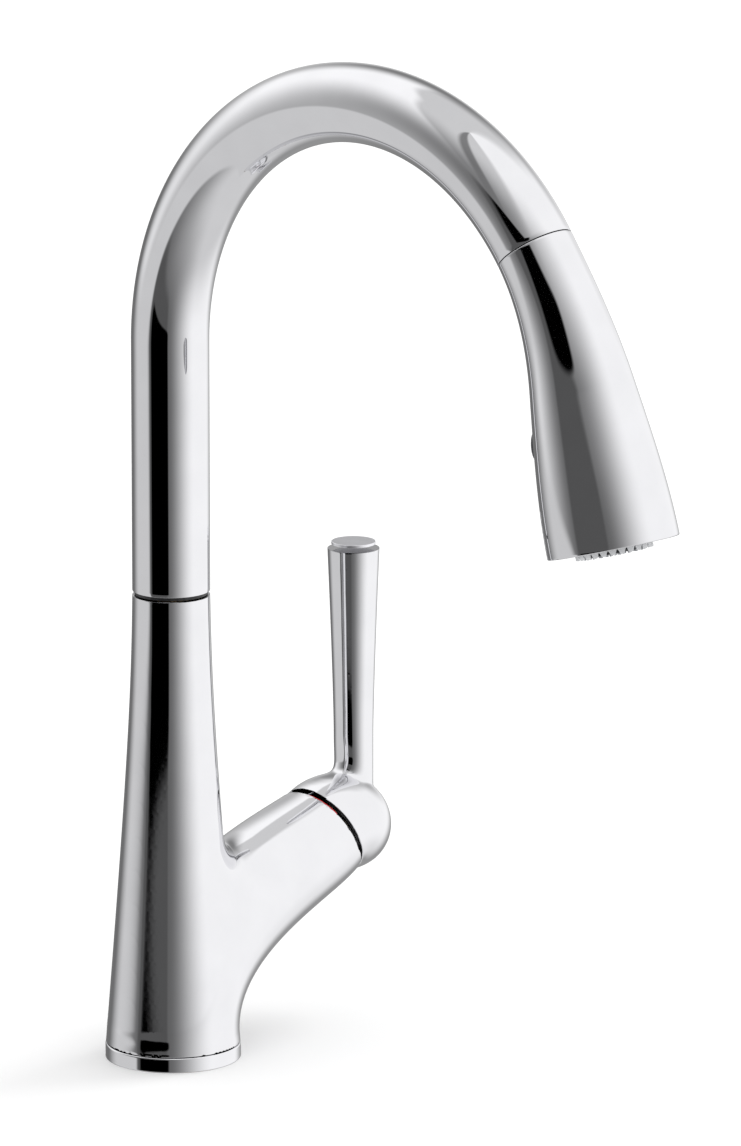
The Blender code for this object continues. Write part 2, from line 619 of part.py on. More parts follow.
def handle_parts():
    start = MOUTH + ARM_AXIS * HANDLE_GAP
    top = Vector((LEVER_X, 0, LEVER_WAIST_Z))
    count = 11
    spine = bezier((start, start + ARM_AXIS * ELBOW_REACH, top - UP * ELBOW_LIFT, top), count)
    narrowing = LEVER_WAIST_RADIUS - HUB_RADIUS
    radii = [HUB_RADIUS + narrowing * ease((i / count) ** 1.44) for i in range(count + 1)]
    stations = 7
    for i in range(1, stations + 1):
        z = LEVER_WAIST_Z + (LEVER_TOP_Z - LEVER_WAIST_Z) * i / stations
        flare = max((z - LEVER_FLARE_Z) / (LEVER_TOP_Z - LEVER_FLARE_Z), 0.0) ** 1.3
        spine.append((LEVER_X, 0, z))
        radii.append(LEVER_WAIST_RADIUS + (LEVER_TOP_RADIUS - LEVER_WAIST_RADIUS) * flare)
    lever = horn("handle_lever", spine, radii, "chrome", sides=28)
    # Its hollow clears the arm's mouth and the dome about the tilt pivot
    lip = HUB_RADIUS - 2.1 * MM
    hollow_radius = sqrt(lip**2 + (PIVOT_DEPTH + HANDLE_GAP) ** 2)
    adaptor_radius = 6.0 * MM
    adaptor_low = DOME_RADIUS - PIVOT_DEPTH + 4 * MM
    adaptor_high = 22.0 * MM
    socket = adaptor_radius + SEAT_GAP
    hollow = [(0, adaptor_high + SEAT_GAP), (socket, adaptor_high + SEAT_GAP)]
    hollow += arc(hollow_radius, pi / 2 - asin(socket / hollow_radius), 0, 10, (0, -PIVOT_DEPTH))
    hollow.append((0, -PIVOT_DEPTH))
    cap_frame = Matrix.Translation((LEVER_X, 0, LEVER_TOP_Z))
    cap_seat = -CAP_THICKNESS - SEAT_GAP
    cap_socket = rod("cap_socket", CAP_RADIUS + SEAT_GAP, cap_seat, 5 * MM, None, cap_frame)
    screw_frame = ARM_FRAME @ Matrix.Translation((0, 0, 15 * MM)) @ Matrix.Rotation(pi / 2, 4, "Y")
    screw_hole = rod("set_screw_hole", SET_SCREW_RADIUS + SEAT_GAP, 2 * MM, 40 * MM, None, screw_frame, 16)
    combine(lever, turned("hub_hollow", hollow, None, ARM_FRAME, 24), "DIFFERENCE", folded=True)
    cut(lever, cap_socket, screw_hole)

    adaptor = ring("stem_adaptor", adaptor_radius, STEM_RADIUS, adaptor_low, adaptor_high, "brass", ARM_FRAME)
    screw_end = adaptor_radius + 6.5 * MM
    screw = rod("handle_set_screw", SET_SCREW_RADIUS, socket, screw_end, "steel", screw_frame, 16)
    cap = rod("lever_cap", CAP_RADIUS, -CAP_THICKNESS, -0.1 * MM, "satin_chrome", cap_frame, 32)

    # A cap on the stem that slides over the dome and stays inside the indicator at full tilt
    inside = DOME_RADIUS + RUN_GAP
    neck = asin((STEM_RADIUS + 0.1 * MM) / inside)
    centre = (0, -PIVOT_DEPTH)
    inner, outer = pi / 2 - neck, pi / 2 - SHIELD_SPREAD
    outline = arc(inside + SHIELD_THICKNESS, inner, outer, 4, centre) + arc(inside, outer, inner, 4, centre)
    shield = turned("stem_shield", outline, "chrome", ARM_FRAME, 16)
    return lever, adaptor, screw, cap, shield, valve_stem()


# Spout


def spout_parts():
    foot = BODY_TOP_Z + SEAM
    inner = TUBE_RADIUS - TUBE_WALL
    count = 20
    edge = SEAM / 2 + 0.6 * MM
    arch = [spout_place(edge + (ARCH_RADIUS * ARCH_SWEEP - edge) * (1 - i / count)) for i in range(count + 1)]
    outside = [Vector((0, 0, foot))] + square_ended(arch, None, -DOCK_AXIS)
    inside = [Vector((0, 0, foot - 5 * MM))] + arch + [arch[-1] - DOCK_AXIS * 5 * MM]
    tube = horn("spout_tube", outside, [TUBE_RADIUS] * len(outside), "chrome", sides=24)
    cut(tube, horn("spout_inside", inside, [inner] * len(inside), None, sides=20))

    socket_length = 18 * MM
    line = [spout_place(SEAM + 0.6 * MM + socket_length * i / 4) for i in range(5)]
    socket = horn("dock_socket", line, [inner - 2 * SEAT_GAP] * 5, "grey_plastic")
    line = [DOCK_FRAME @ Vector((0, 0, -4 * MM))] + line + [spout_place(socket_length + 6 * MM)]
    cut(socket, horn("dock_socket_inside", line, [inner - 2.3 * MM] * 7, None))
    half = MAGNET_THICKNESS / 2
    place = spout_frame(socket_length + 5 * MM)
    magnet = ring("dock_magnet", inner - 0.8 * MM, HOSE_RADIUS + 1.6 * MM, -half, half, "magnet", place)

    bush_outer = inner - SEAT_GAP
    bush_inner = PIVOT_RADIUS + SEAT_GAP
    low = foot + 3 * MM
    lower = ring("spout_bush_lower", bush_outer, bush_inner, low, low + 10 * MM, "white_plastic")
    high = BODY_TOP_Z + PIVOT_RISE - 15 * MM
    upper = ring("spout_bush_upper", bush_outer, bush_inner, high, high + 10 * MM, "white_plastic")
    return tube, socket, magnet, lower, upper


def pivot_parts():
    top = BODY_TOP_Z + PIVOT_RISE
    clip_low = top - 4.0 * MM
    clip_high = clip_low + 1.4 * MM
    groove = PIVOT_RADIUS - 1.2 * MM
    outline = [
        (PIVOT_RADIUS, top),
        (PIVOT_RADIUS, clip_high),
        (groove, clip_high),
        (groove, clip_low),
        (PIVOT_RADIUS, clip_low),
        (PIVOT_RADIUS, BODY_TOP_Z),
        (PIVOT_RADIUS + SEAT_GAP, BODY_TOP_Z - 1 * MM),
        (PIVOT_RADIUS + SEAT_GAP, BODY_TOP_Z - PIVOT_SOCKET_DEPTH),
        (PIVOT_BORE, BODY_TOP_Z - PIVOT_SOCKET_DEPTH),
        (PIVOT_BORE, top),
    ]
    pivot = turned("spout_pivot", outline, "brass")
    ring_low = BODY_TOP_Z - 1.4 * MM + SEAT_GAP
    ring_high = BODY_TOP_Z + SEAM - SEAT_GAP
    ring_hole = PIVOT_RADIUS + 2 * SEAT_GAP
    outer = TUBE_RADIUS - 0.8 * MM
    thrust = ring("thrust_ring", outer, ring_hole, ring_low, ring_high, "black_plastic", steps=32)
    clip_radius = TUBE_RADIUS - TUBE_WALL - 0.5 * MM
    low = clip_low + 0.2 * MM
    clip = ring("spout_clip", clip_radius, groove + SEAT_GAP, low, low + CLIP_THICKNESS, "steel")
    gap = Matrix.Translation((0, clip_radius, clip_low))
    cut(clip, box("clip_opening", (CLIP_OPENING, clip_radius, CLIP_OPENING), None, gap))
    guide_top = top + 4 * MM
    outer = PIVOT_BORE - SEAT_GAP
    inner = HOSE_RADIUS + 2 * RUN_GAP
    outline = [
        (PIVOT_RADIUS - 1 * MM, guide_top),
        (PIVOT_RADIUS - 1 * MM, top + SEAT_GAP),
        (outer, top + SEAT_GAP),
        (outer, BODY_TOP_Z - PIVOT_SOCKET_DEPTH + 6 * MM),
        (inner, BODY_TOP_Z - PIVOT_SOCKET_DEPTH + 6 * MM),
        (inner, guide_top - 2 * MM),
        (inner + 1.6 * MM, guide_top),
    ]
    guide = turned("hose_guide", outline, "white_plastic")
    return pivot, thrust, clip, guide


# Hose


def hose_parts():
    split = BODY_TOP_Z + PIVOT_RISE + 8 * MM
    low = -SHANK_LENGTH - 4 * MM
    column = rod("spray_hose_column", HOSE_RADIUS, low, split, "hose_braid", steps=16)
    count = 26
    back = 12.5 * MM
    whole = ARCH_RADIUS * ARCH_SWEEP - back
    line = [Vector((0, 0, split + SEAT_GAP))]
    line += [spout_place(back + whole * (1 - i / count)) for i in range(count + 1)]
    spout = horn("spray_hose_spout", line, [HOSE_RADIUS] * len(line), "hose_braid", sides=12)
    fitting_top = low - SEAT_GAP
    outline = [
        (0, fitting_top),
        (HOSE_RADIUS + 0.8 * MM, fitting_top),
        (HOSE_RADIUS + 0.8 * MM, fitting_top - 14 * MM),
        (HOSE_RADIUS - 1.2 * MM, fitting_top - 15 * MM),
        (HOSE_RADIUS - 1.2 * MM, fitting_top - 22 * MM),
        (0, fitting_top - 22 * MM),
    ]
    lower_fitting = turned("hose_lower_fitting", outline, "brass", steps=16)
    outer = HOSE_RADIUS + 0.9 * MM
    ferrule = ring("hose_ferrule", outer, HOSE_RADIUS - 1.4 * MM, -6 * MM, 10.5 * MM, "steel", DOCK_FRAME)
    outline = [
        (HOSE_RADIUS - 1.4 * MM, -6.3 * MM),
        (HOSE_RADIUS - 1.4 * MM, -10 * MM),
        (HOSE_RADIUS + 0.6 * MM, -10 * MM),
        (HOSE_RADIUS + 0.6 * MM, -13 * MM),
        (2.4 * MM, -13 * MM),
        (2.4 * MM, -6.3 * MM),
    ]
    fitting = turned("hose_end_fitting", outline, "brass", DOCK_FRAME)
    return (column, lower_fitting), spout, (ferrule, fitting)


# Wand


def wand_line(start, end, offset, count):
    """Points and radii along the wand between two places, offset from its outer surface."""
    stations = [start + (end - start) * i / count for i in range(count + 1)]
    return [wand_place(s)[0] for s in stations], [wand_radius(s) + offset for s in stations]


def wand_parts():
    spine, radii = wand_line(SEAM / 2 + 0.6 * MM, WAND_LENGTH, 0.0, 14)
    shell = horn("wand_shell", square_ended(spine, -DOCK_AXIS, None), radii[:1] + radii, "chrome", sides=28)
    spine, radii = wand_line(-4 * MM, WAND_LENGTH + 4 * MM, -WAND_WALL, 10)
    cut(shell, horn("wand_inside", spine, radii, None, sides=24))

    neck = TUBE_RADIUS - WAND_WALL - 2 * SEAT_GAP
    hole = HOSE_RADIUS + 0.9 * MM + 1.0 * MM
    nose_root = TUBE_RADIUS - TUBE_WALL - 2.3 * MM - RUN_GAP
    outline = [
        (nose_root - 2.2 * MM, NOSE_LENGTH),
        (nose_root, SEAM + 3 * MM),
        (nose_root, -SEAM),
        (neck, -SEAM),
        (neck, -7 * MM),
        (hole, -7 * MM),
        (hole, NOSE_LENGTH),
    ]
    nose = turned("wand_nose", outline, "grey_plastic", DOCK_FRAME)
    plate_low = NOSE_LENGTH + SEAT_GAP
    plate_high = plate_low + 1.2 * MM
    plate = ring("magnet_plate", nose_root - 2.2 * MM, hole, plate_low, plate_high, "steel", DOCK_FRAME)

    nut_outer = HOSE_RADIUS + 3.4 * MM
    outline = [
        (nut_outer, -7.4 * MM),
        (nut_outer, -18 * MM),
        (3 * MM, -18 * MM),
        (3 * MM, -13.4 * MM),
        (HOSE_RADIUS + 1.0 * MM, -13.4 * MM),
        (HOSE_RADIUS + 1.0 * MM, -9.6 * MM),
        (HOSE_RADIUS - 1.0 * MM, -9.6 * MM),
        (HOSE_RADIUS - 1.0 * MM, -7.4 * MM),
    ]
    coupling = turned("coupling_nut", outline, "brass", DOCK_FRAME)

    core_start, core_end = 20 * MM, WAND_LENGTH - 24 * MM
    stations = 8
    line = [wand_place(core_start + (core_end - core_start) * i / stations)[0] for i in range(stations + 1)]
    outer = [9.0 * MM + 6.0 * MM * ease(i / stations) for i in range(stations + 1)]
    core = horn("wand_core", line, outer, "white_plastic", sides=20)
    over = 5 * MM
    step = (core_end - core_start + 2 * over) / stations
    line = [wand_place(core_start - over + step * i)[0] for i in range(stations + 1)]
    cut(core, horn("core_waterway", line, [5.0 * MM] * (stations + 1), None, sides=16))
    screen = rod("filter_screen", 4.6 * MM, -1 * MM, 0, "steel", wand_frame(core_start + 2 * MM), 16)
    place = wand_frame(core_start + 8 * MM)
    check = ring("check_valve", 4.6 * MM, 2.2 * MM, -9 * MM, 0, "white_plastic", place, 16)

    inside = WAND_MOUTH_RADIUS - WAND_WALL
    divert_low, divert_high = 9.6 * MM, 23.4 * MM
    outer = inside - 5 * MM
    diverter = ring(
        "diverter_housing", outer, 6.0 * MM, divert_low, divert_high, "white_plastic", OUTLET_FRAME
    )
    return shell, nose, plate, coupling, core, screen, check, diverter


def outlet_parts():
    inside = WAND_MOUTH_RADIUS - WAND_WALL
    centre_hole = AERATOR_RADIUS + SEAT_GAP
    outline = [
        (FACE_RADIUS - 2.4 * MM, 6.0 * MM),
        (FACE_RADIUS - 2.4 * MM, 3.0 * MM),
        (FACE_RADIUS, 3.0 * MM),
        (FACE_RADIUS, -FACE_DROP + 0.4 * MM),
        (FACE_RADIUS - 0.4 * MM, -FACE_DROP),
        (centre_hole, -FACE_DROP),
        (centre_hole, 6.0 * MM),
    ]
    face = turned("spray_face", outline, "white_plastic", OUTLET_FRAME, 24)
    outer = inside - 2 * SEAT_GAP
    hole = FACE_RADIUS + SEAT_GAP
    plate = ring("face_plate", outer, hole, 0.8 * MM, 5.0 * MM, "grey_plastic", OUTLET_FRAME, 24)
    outer -= SEAT_GAP
    hole = inside - 3.6 * MM
    lock = ring("face_lock_ring", outer, hole, 5.4 * MM, 12 * MM, "white_plastic", OUTLET_FRAME, 24)
    pad = ring("nozzle_pad", FACE_RADIUS, centre_hole, 6.4 * MM, 9.0 * MM, "nozzle_rubber", OUTLET_FRAME)
    outline = [
        (0, 9.0 * MM),
        (AERATOR_RADIUS, 9.0 * MM),
        (AERATOR_RADIUS, -FACE_DROP + 0.8 * MM),
        (0, -FACE_DROP + 0.8 * MM),
    ]
    aerator = turned("aerator_insert", outline, "nozzle_rubber", OUTLET_FRAME)
    return face, plate, lock, pad, aerator


def ellipse(width, height, count=20):
    return [(width / 2 * cos(2 * pi * i / count), height / 2 * sin(2 * pi * i / count)) for i in range(count)]


def button_parts(shell):
    """The button follows the wand's outer surface, raised a little, in an oval hole of the shell."""
    along = WAND_LENGTH - BUTTON_PLACE
    # Z of this frame points from the wand's axis out towards the column
    frame = wand_frame(along) @ Matrix.Rotation(-pi / 2, 4, "X")
    margin = 18 * MM
    spine, radii = wand_line(along - margin, along + margin, BUTTON_RISE, 8)
    button = horn("spray_button", spine, radii, "grey_plastic", sides=28)
    oval = ellipse(BUTTON_WIDTH, BUTTON_HEIGHT)
    combine(button, slab("button_outline", oval, 0, 40 * MM, None, frame), "INTERSECT")
    spine, radii = wand_line(along - margin * 1.5, along + margin * 1.5, -WAND_WALL - 1.8 * MM, 8)
    cut(button, horn("button_inside", spine, radii, None, sides=32))
    hole = ellipse(BUTTON_WIDTH + 2 * RUN_GAP, BUTTON_HEIGHT + 2 * RUN_GAP)
    cut(shell, slab("button_hole", hole, 2 * MM, 40 * MM, None, frame))
    return button, frame


def attach(name, frame, pieces):
    """An empty on the joint's axis, which carries the pieces that move together."""
    empty = bpy.data.objects.new(name, None)
    PARTS.objects.link(empty)
    empty.matrix_world = frame
    for piece in pieces:
        piece.parent = empty
        piece.matrix_parent_inverse = frame.inverted()
    return empty


def main():
    base = base_parts()
    body = faucet_body()
    tubes = water_tubes()
    seal, housing, fixed, moving, rotor, pin, nut = cartridge_parts()
    bonnet = bonnet_parts()
    handle = handle_parts()
    spout = spout_parts()
    pivot = pivot_parts()
    column_hose, spout_hose, hose_end = hose_parts()
    wand = wand_parts()
    outlet = outlet_parts()
    button, button_frame = button_parts(wand[0])
    fixed_parts = [*base, body, *tubes, seal, housing, fixed, nut, *bonnet, *pivot, *column_hose]
    attach("deck_seat", Matrix(), fixed_parts)
    attach("spout_swivel", Matrix.Translation((0, 0, BODY_TOP_Z)), [*spout, spout_hose])
    attach("wand_pull", DOCK_FRAME, hose_end)
    attach("wand_turn", DOCK_FRAME, [*wand, *outlet])
    attach("button_press", button_frame, [button])
    attach("temperature_turn", PIVOT_FRAME, [rotor, pin])
    attach("disc_slide", PIVOT_FRAME, [moving])
    attach("lever_tilt", PIVOT_FRAME, handle)


main()
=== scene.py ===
import json
from math import acos, asin, cos, pi, radians, sin, sqrt

import bmesh
import bpy
import numpy as np
from mathutils import Matrix, Vector


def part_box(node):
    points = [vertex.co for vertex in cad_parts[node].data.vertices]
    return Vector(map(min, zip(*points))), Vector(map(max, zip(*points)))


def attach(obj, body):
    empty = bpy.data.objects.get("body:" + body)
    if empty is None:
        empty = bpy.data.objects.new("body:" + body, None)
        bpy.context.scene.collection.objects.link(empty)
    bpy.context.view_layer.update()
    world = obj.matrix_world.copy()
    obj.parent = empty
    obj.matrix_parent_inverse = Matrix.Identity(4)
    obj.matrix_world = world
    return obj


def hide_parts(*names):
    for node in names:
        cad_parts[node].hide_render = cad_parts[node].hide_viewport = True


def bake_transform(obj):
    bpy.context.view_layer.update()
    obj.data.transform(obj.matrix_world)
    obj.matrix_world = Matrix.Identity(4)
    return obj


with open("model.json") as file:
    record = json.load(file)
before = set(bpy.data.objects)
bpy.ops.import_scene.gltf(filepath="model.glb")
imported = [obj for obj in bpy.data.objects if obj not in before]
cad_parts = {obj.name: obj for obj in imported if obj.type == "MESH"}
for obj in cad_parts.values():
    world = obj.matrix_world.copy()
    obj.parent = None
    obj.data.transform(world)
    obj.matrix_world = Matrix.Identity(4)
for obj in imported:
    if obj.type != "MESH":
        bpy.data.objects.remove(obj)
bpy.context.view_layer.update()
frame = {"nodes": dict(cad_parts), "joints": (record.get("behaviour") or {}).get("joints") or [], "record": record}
print("frame loaded:", len(frame["nodes"]), "nodes")

mm = 0.001
up = Vector((0, 0, 1))
sharpAngle = 17  # degrees, past which an edge of a chrome shell stays sharp
joints = {joint["name"]: joint for joint in frame["joints"]}


# Where things are, read from the frame

seamHeight = joints["spout_swivel"]["pos_m"][2]
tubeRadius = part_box("spout_tube")[1].x
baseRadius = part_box("base_ring")[1].x
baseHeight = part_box("base_ring")[1].z
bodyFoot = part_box("faucet_body")[0].z
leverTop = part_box("handle_lever")[1].z
dock = Vector(joints["wand_turn"]["pos_m"])
dockAxis = Vector(joints["wand_turn"]["axis"]).normalized()
leverPivot = Vector(joints["lever_tilt"]["pos_m"])
armAxis = Vector(joints["temperature"]["axis"]).normalized()
archSweep = pi - asin(dockAxis.y)
archRadius = -dock.y / (1 - cos(archSweep))
archHeight = dock.z - archRadius * sin(archSweep)
armRise = asin(armAxis.z)


def alongArm(distance):
    # Z runs out along the valve arm, and zero is this far from the tilt pivot
    place = Matrix.Translation(leverPivot + armAxis * distance)
    return place @ Matrix.Rotation(pi / 2 - armRise, 4, "Y")


# Meshes


def linked(mesh, name):
    made = bpy.data.objects.new(name, mesh)
    bpy.context.scene.collection.objects.link(made)
    return made


def settled(piece):
    # the evaluated shape as a plain mesh, with no modifiers left
    bpy.context.view_layer.update()
    mesh = bpy.data.meshes.new_from_object(piece.evaluated_get(bpy.context.evaluated_depsgraph_get()))
    old = piece.data
    piece.modifiers.clear()
    piece.data = mesh
    mesh.name = piece.name
    bpy.data.meshes.remove(old)
    return piece


def smoothed(piece, angle=35):
    piece.data.shade_smooth()
    piece.data.set_sharp_from_angle(angle=radians(angle))
    return piece


def meshFrom(shape, name):
    bmesh.ops.recalc_face_normals(shape, faces=shape.faces)
    mesh = bpy.data.meshes.new(name)
    shape.to_mesh(mesh)
    shape.free()
    return mesh


def ringsShape(rings, closed=False):
    # a skin through rings of points; a ring of one point is a pole
    shape = bmesh.new()
    rows = [[shape.verts.new(point) for point in ring] for ring in rings]
    pairs = list(zip(rows, rows[1:] + rows[:1])) if closed else list(zip(rows, rows[1:]))
    for low, high in pairs:
        count = max(len(low), len(high))
        for i in range(count):
            j = (i + 1) % count
            corners = [low[i % len(low)], low[j % len(low)], high[j % len(high)], high[i % len(high)]]
            corners = [corner for k, corner in enumerate(corners) if corner not in corners[:k]]
            if len(corners) > 2:
                shape.faces.new(corners)
    return shape


def capped(shape):
    edges = [edge for edge in shape.edges if edge.is_boundary]
    bmesh.ops.holes_fill(shape, edges=edges, sides=0)
    return shape


def roundedOutline(corners, steps=5, hold=0.15 * mm):
    # (radius, height, rounding) corners as points, with a holding point beside each rounding
    made = []
    count = len(corners)
    for i, (x, y, rounding) in enumerate(corners):
        here = Vector((x, y))
        if rounding == 0:
            made.append(here)
            continue
        before = (Vector(corners[i - 1][:2]) - here).normalized()
        after = (Vector(corners[(i + 1) % count][:2]) - here).normalized()
        half = acos(max(-1.0, min(1.0, before.dot(after)))) / 2
        reach = rounding * cos(half) / sin(half)
        middle = here + (before + after).normalized() * (rounding / sin(half))
        start = here + before * reach - middle
        end = here + after * reach - middle
        turn = start.angle_signed(end)
        made.append(here + before * (reach + hold))
        for k in range(steps + 1):
            made.append(middle + Matrix.Rotation(-turn * k / steps, 2) @ start)
        made.append(here + after * (reach + hold))
    return [(point.x, point.y) for point in made]


def turnedPiece(name, outline, matrix=Matrix(), sides=128):
    # an outline of (radius, height) turned about the matrix's Z axis
    rings = []
    for radius, height in outline:
        if radius < 1e-7:
            rings.append([matrix @ Vector((0, 0, height))])
            continue
        turns = [2 * pi * k / sides for k in range(sides)]
        rings.append([matrix @ Vector((radius * cos(a), radius * sin(a), height)) for a in turns])
    closed = min(radius for radius, _ in outline) > 1e-7
    return smoothed(linked(meshFrom(ringsShape(rings, closed), name), name))


def cutWith(piece, cutter):
    step = piece.modifiers.new("Cut", "BOOLEAN")
    step.operation = "DIFFERENCE"
    step.object = cutter
    settled(piece)
    bpy.data.objects.remove(cutter, do_unlink=True)
    return piece


# Node trees


def treeOf(kind, name, inputs, outputs):
    tree = bpy.data.node_groups.new(name, kind)
    for label, socket, value in inputs:
        made = tree.interface.new_socket(label, in_out="INPUT", socket_type=socket)
        if value is not None:
            made.default_value = value
    for label, socket in outputs:
        tree.interface.new_socket(label, in_out="OUTPUT", socket_type=socket)
    return tree


class Wiring:
    # places nodes in a tree and joins them: a term is another node's socket or a plain value
    def __init__(self, tree):
        self.tree = tree

    def node(self, kind, terms=None, **settings):
        made = self.tree.nodes.new(kind)
        for key, value in settings.items():
            setattr(made, key, value)
        for key, term in (terms or {}).items():
            self.join(term, made.inputs[key])
        return made

    def join(self, term, socket):
        if isinstance(term, bpy.types.NodeSocket):
            self.tree.links.new(term, socket)
        else:
            socket.default_value = term

    def math(self, operation, *terms):
        made = self.node("ShaderNodeMath", dict(enumerate(terms)), operation=operation)
        return made.outputs[0]

    def inputs(self):
        return self.node("NodeGroupInput").outputs


def grown(piece, tree, values):
    # runs a geometry tree on the piece and keeps the plain mesh that comes out
    step = piece.modifiers.new(tree.name, "NODES")
    step.node_group = tree
    for item in tree.interface.items_tree:
        if item.in_out == "INPUT" and item.name in values:
            step[item.identifier] = values[item.name]
    return settled(piece)


def bentTubeTree():
    # an open tube that runs straight, bends towards -Y and runs straight again, opening or closing as it goes
    sizes = ["Straight Before", "Bend Radius", "Bend Angle", "Straight After", "Start Radius", "End Radius"]
    inputs = [("Geometry", "NodeSocketGeometry", None)]
    inputs += [(size, "NodeSocketFloat", 0.01) for size in sizes]
    inputs += [("Rings", "NodeSocketInt", 100), ("Sides", "NodeSocketInt", 96)]
    inputs += [("Material", "NodeSocketMaterial", None)]
    tree = treeOf("GeometryNodeTree", "bentTube", inputs, [("Geometry", "NodeSocketGeometry")])
    w = Wiring(tree)
    given = w.inputs()
    barrel = w.node("GeometryNodeMeshCylinder", {"Vertices": given["Sides"], "Side Segments": given["Rings"],
                                                 "Radius": 1.0, "Depth": 1.0}, fill_type="NONE")
    place = w.node("ShaderNodeSeparateXYZ", {0: w.node("GeometryNodeInputPosition").outputs[0]}).outputs
    share = w.math("ADD", place["Z"], 0.5)
    bendLength = w.math("MULTIPLY", given["Bend Radius"], given["Bend Angle"])
    toBendEnd = w.math("ADD", given["Straight Before"], bendLength)
    along = w.math("MULTIPLY", share, w.math("ADD", toBendEnd, given["Straight After"]))
    first = w.math("MINIMUM", along, given["Straight Before"])
    bent = w.math("MINIMUM", w.math("SUBTRACT", along, first), bendLength)
    angle = w.math("DIVIDE", bent, given["Bend Radius"])
    last = w.math("MAXIMUM", w.math("SUBTRACT", along, toBendEnd), 0.0)
    flare = w.node("ShaderNodeMapRange", {"Value": share, "To Min": given["Start Radius"],
                                          "To Max": given["End Radius"]}, interpolation_type="SMOOTHSTEP")
    radius = flare.outputs[0]
    outward = w.math("MULTIPLY", place["Y"], radius)
    sine, cosine = w.math("SINE", angle), w.math("COSINE", angle)
    inset = w.math("MULTIPLY", given["Bend Radius"], w.math("SUBTRACT", cosine, 1.0))
    y = w.math("ADD", inset, w.math("MULTIPLY", outward, cosine))
    y = w.math("SUBTRACT", y, w.math("MULTIPLY", last, sine))
    rise = w.math("MULTIPLY", w.math("ADD", given["Bend Radius"], outward), sine)
    z = w.math("ADD", w.math("ADD", first, rise), w.math("MULTIPLY", last, cosine))
    spot = w.node("ShaderNodeCombineXYZ", {"X": w.math("MULTIPLY", place["X"], radius), "Y": y, "Z": z})
    moved = w.node("GeometryNodeSetPosition", {"Geometry": barrel.outputs["Mesh"],
                                               "Position": spot.outputs[0]})
    real = w.node("GeometryNodeRealizeInstances", {0: moved.outputs[0]})
    dressed = w.node("GeometryNodeSetMaterial", {"Geometry": real.outputs[0], "Material": given["Material"]})
    w.node("NodeGroupOutput", {0: dressed.outputs[0]})
    return tree


def ringOfCopiesTree():
    # copies of one object in rings about Z, each ring turned half a step from the last
    inputs = [
        ("Geometry", "NodeSocketGeometry", None),
        ("Copy", "NodeSocketObject", None),
        ("Count", "NodeSocketInt", 18),
        ("Rings", "NodeSocketInt", 1),
        ("First Radius", "NodeSocketFloat", 0.01),
        ("Ring Spacing", "NodeSocketFloat", 0.0),
        ("Material", "NodeSocketMaterial", None),
    ]
    tree = treeOf("GeometryNodeTree", "ringOfCopies", inputs, [("Geometry", "NodeSocketGeometry")])
    w = Wiring(tree)
    given = w.inputs()
    index = w.node("GeometryNodeInputIndex").outputs[0]
    ring = w.math("FLOOR", w.math("DIVIDE", w.math("ADD", index, 0.5), given["Count"]))
    step = w.math("DIVIDE", 2 * pi, given["Count"])
    angle = w.math("MULTIPLY", w.math("ADD", index, w.math("MULTIPLY", ring, 0.5)), step)
    radius = w.math("ADD", given["First Radius"], w.math("MULTIPLY", ring, given["Ring Spacing"]))
    spot = w.node("ShaderNodeCombineXYZ", {"X": w.math("MULTIPLY", radius, w.math("COSINE", angle)),
                                           "Y": w.math("MULTIPLY", radius, w.math("SINE", angle))})
    total = w.math("MULTIPLY", given["Count"], given["Rings"])
    points = w.node("GeometryNodePoints", {"Count": total, "Position": spot.outputs[0]})
    turn = w.node("ShaderNodeCombineXYZ", {"Z": angle})
    source = w.node("GeometryNodeObjectInfo", {"Object": given["Copy"]})
    placed = w.node("GeometryNodeInstanceOnPoints", {"Points": points.outputs[0],
                                                     "Instance": source.outputs["Geometry"],
                                                     "Rotation": turn.outputs[0]})
    real = w.node("GeometryNodeRealizeInstances", {0: placed.outputs[0]})
    dressed = w.node("GeometryNodeSetMaterial", {"Geometry": real.outputs[0], "Material": given["Material"]})
    w.node("NodeGroupOutput", {0: dressed.outputs[0]})
    return tree


# Materials


def grainGroup():
    # uneven roughness and a fine bump, as polishing, moulding or plating leaves them
    inputs = [
        ("Scale", "NodeSocketFloat", 400.0),
        ("Stretch", "NodeSocketVector", (1.0, 1.0, 1.0)),
        ("Low", "NodeSocketFloat", 0.1),
        ("High", "NodeSocketFloat", 0.2),
        ("Bump", "NodeSocketFloat", 0.1),
        ("Height", "NodeSocketFloat", 0.00002),
    ]
    outputs = [("Roughness", "NodeSocketFloat"), ("Normal", "NodeSocketVector")]
    tree = treeOf("ShaderNodeTree", "surfaceGrain", inputs, outputs)
    w = Wiring(tree)
    given = w.inputs()
    place = w.node("ShaderNodeTexCoord").outputs["Object"]
    spread = w.node("ShaderNodeVectorMath", {0: place, 1: given["Stretch"]}, operation="MULTIPLY").outputs[0]
    broad = w.node("ShaderNodeTexNoise", {"Vector": spread, "Scale": 35.0, "Detail": 3.0})
    fine = w.node("ShaderNodeTexNoise", {"Vector": spread, "Scale": given["Scale"], "Detail": 2.0})
    mixed = w.math("ADD", w.math("MULTIPLY", broad.outputs[0], 0.6), w.math("MULTIPLY", fine.outputs[0], 0.4))
    rough = w.node("ShaderNodeMapRange", {"Value": mixed, "From Min": 0.35, "From Max": 0.65,
                                          "To Min": given["Low"], "To Max": given["High"]})
    bump = w.node("ShaderNodeBump", {"Strength": given["Bump"], "Distance": given["Height"],
                                     "Height": fine.outputs[0]})
    w.node("NodeGroupOutput", {"Roughness": rough.outputs[0], "Normal": bump.outputs[0]})
    return tree


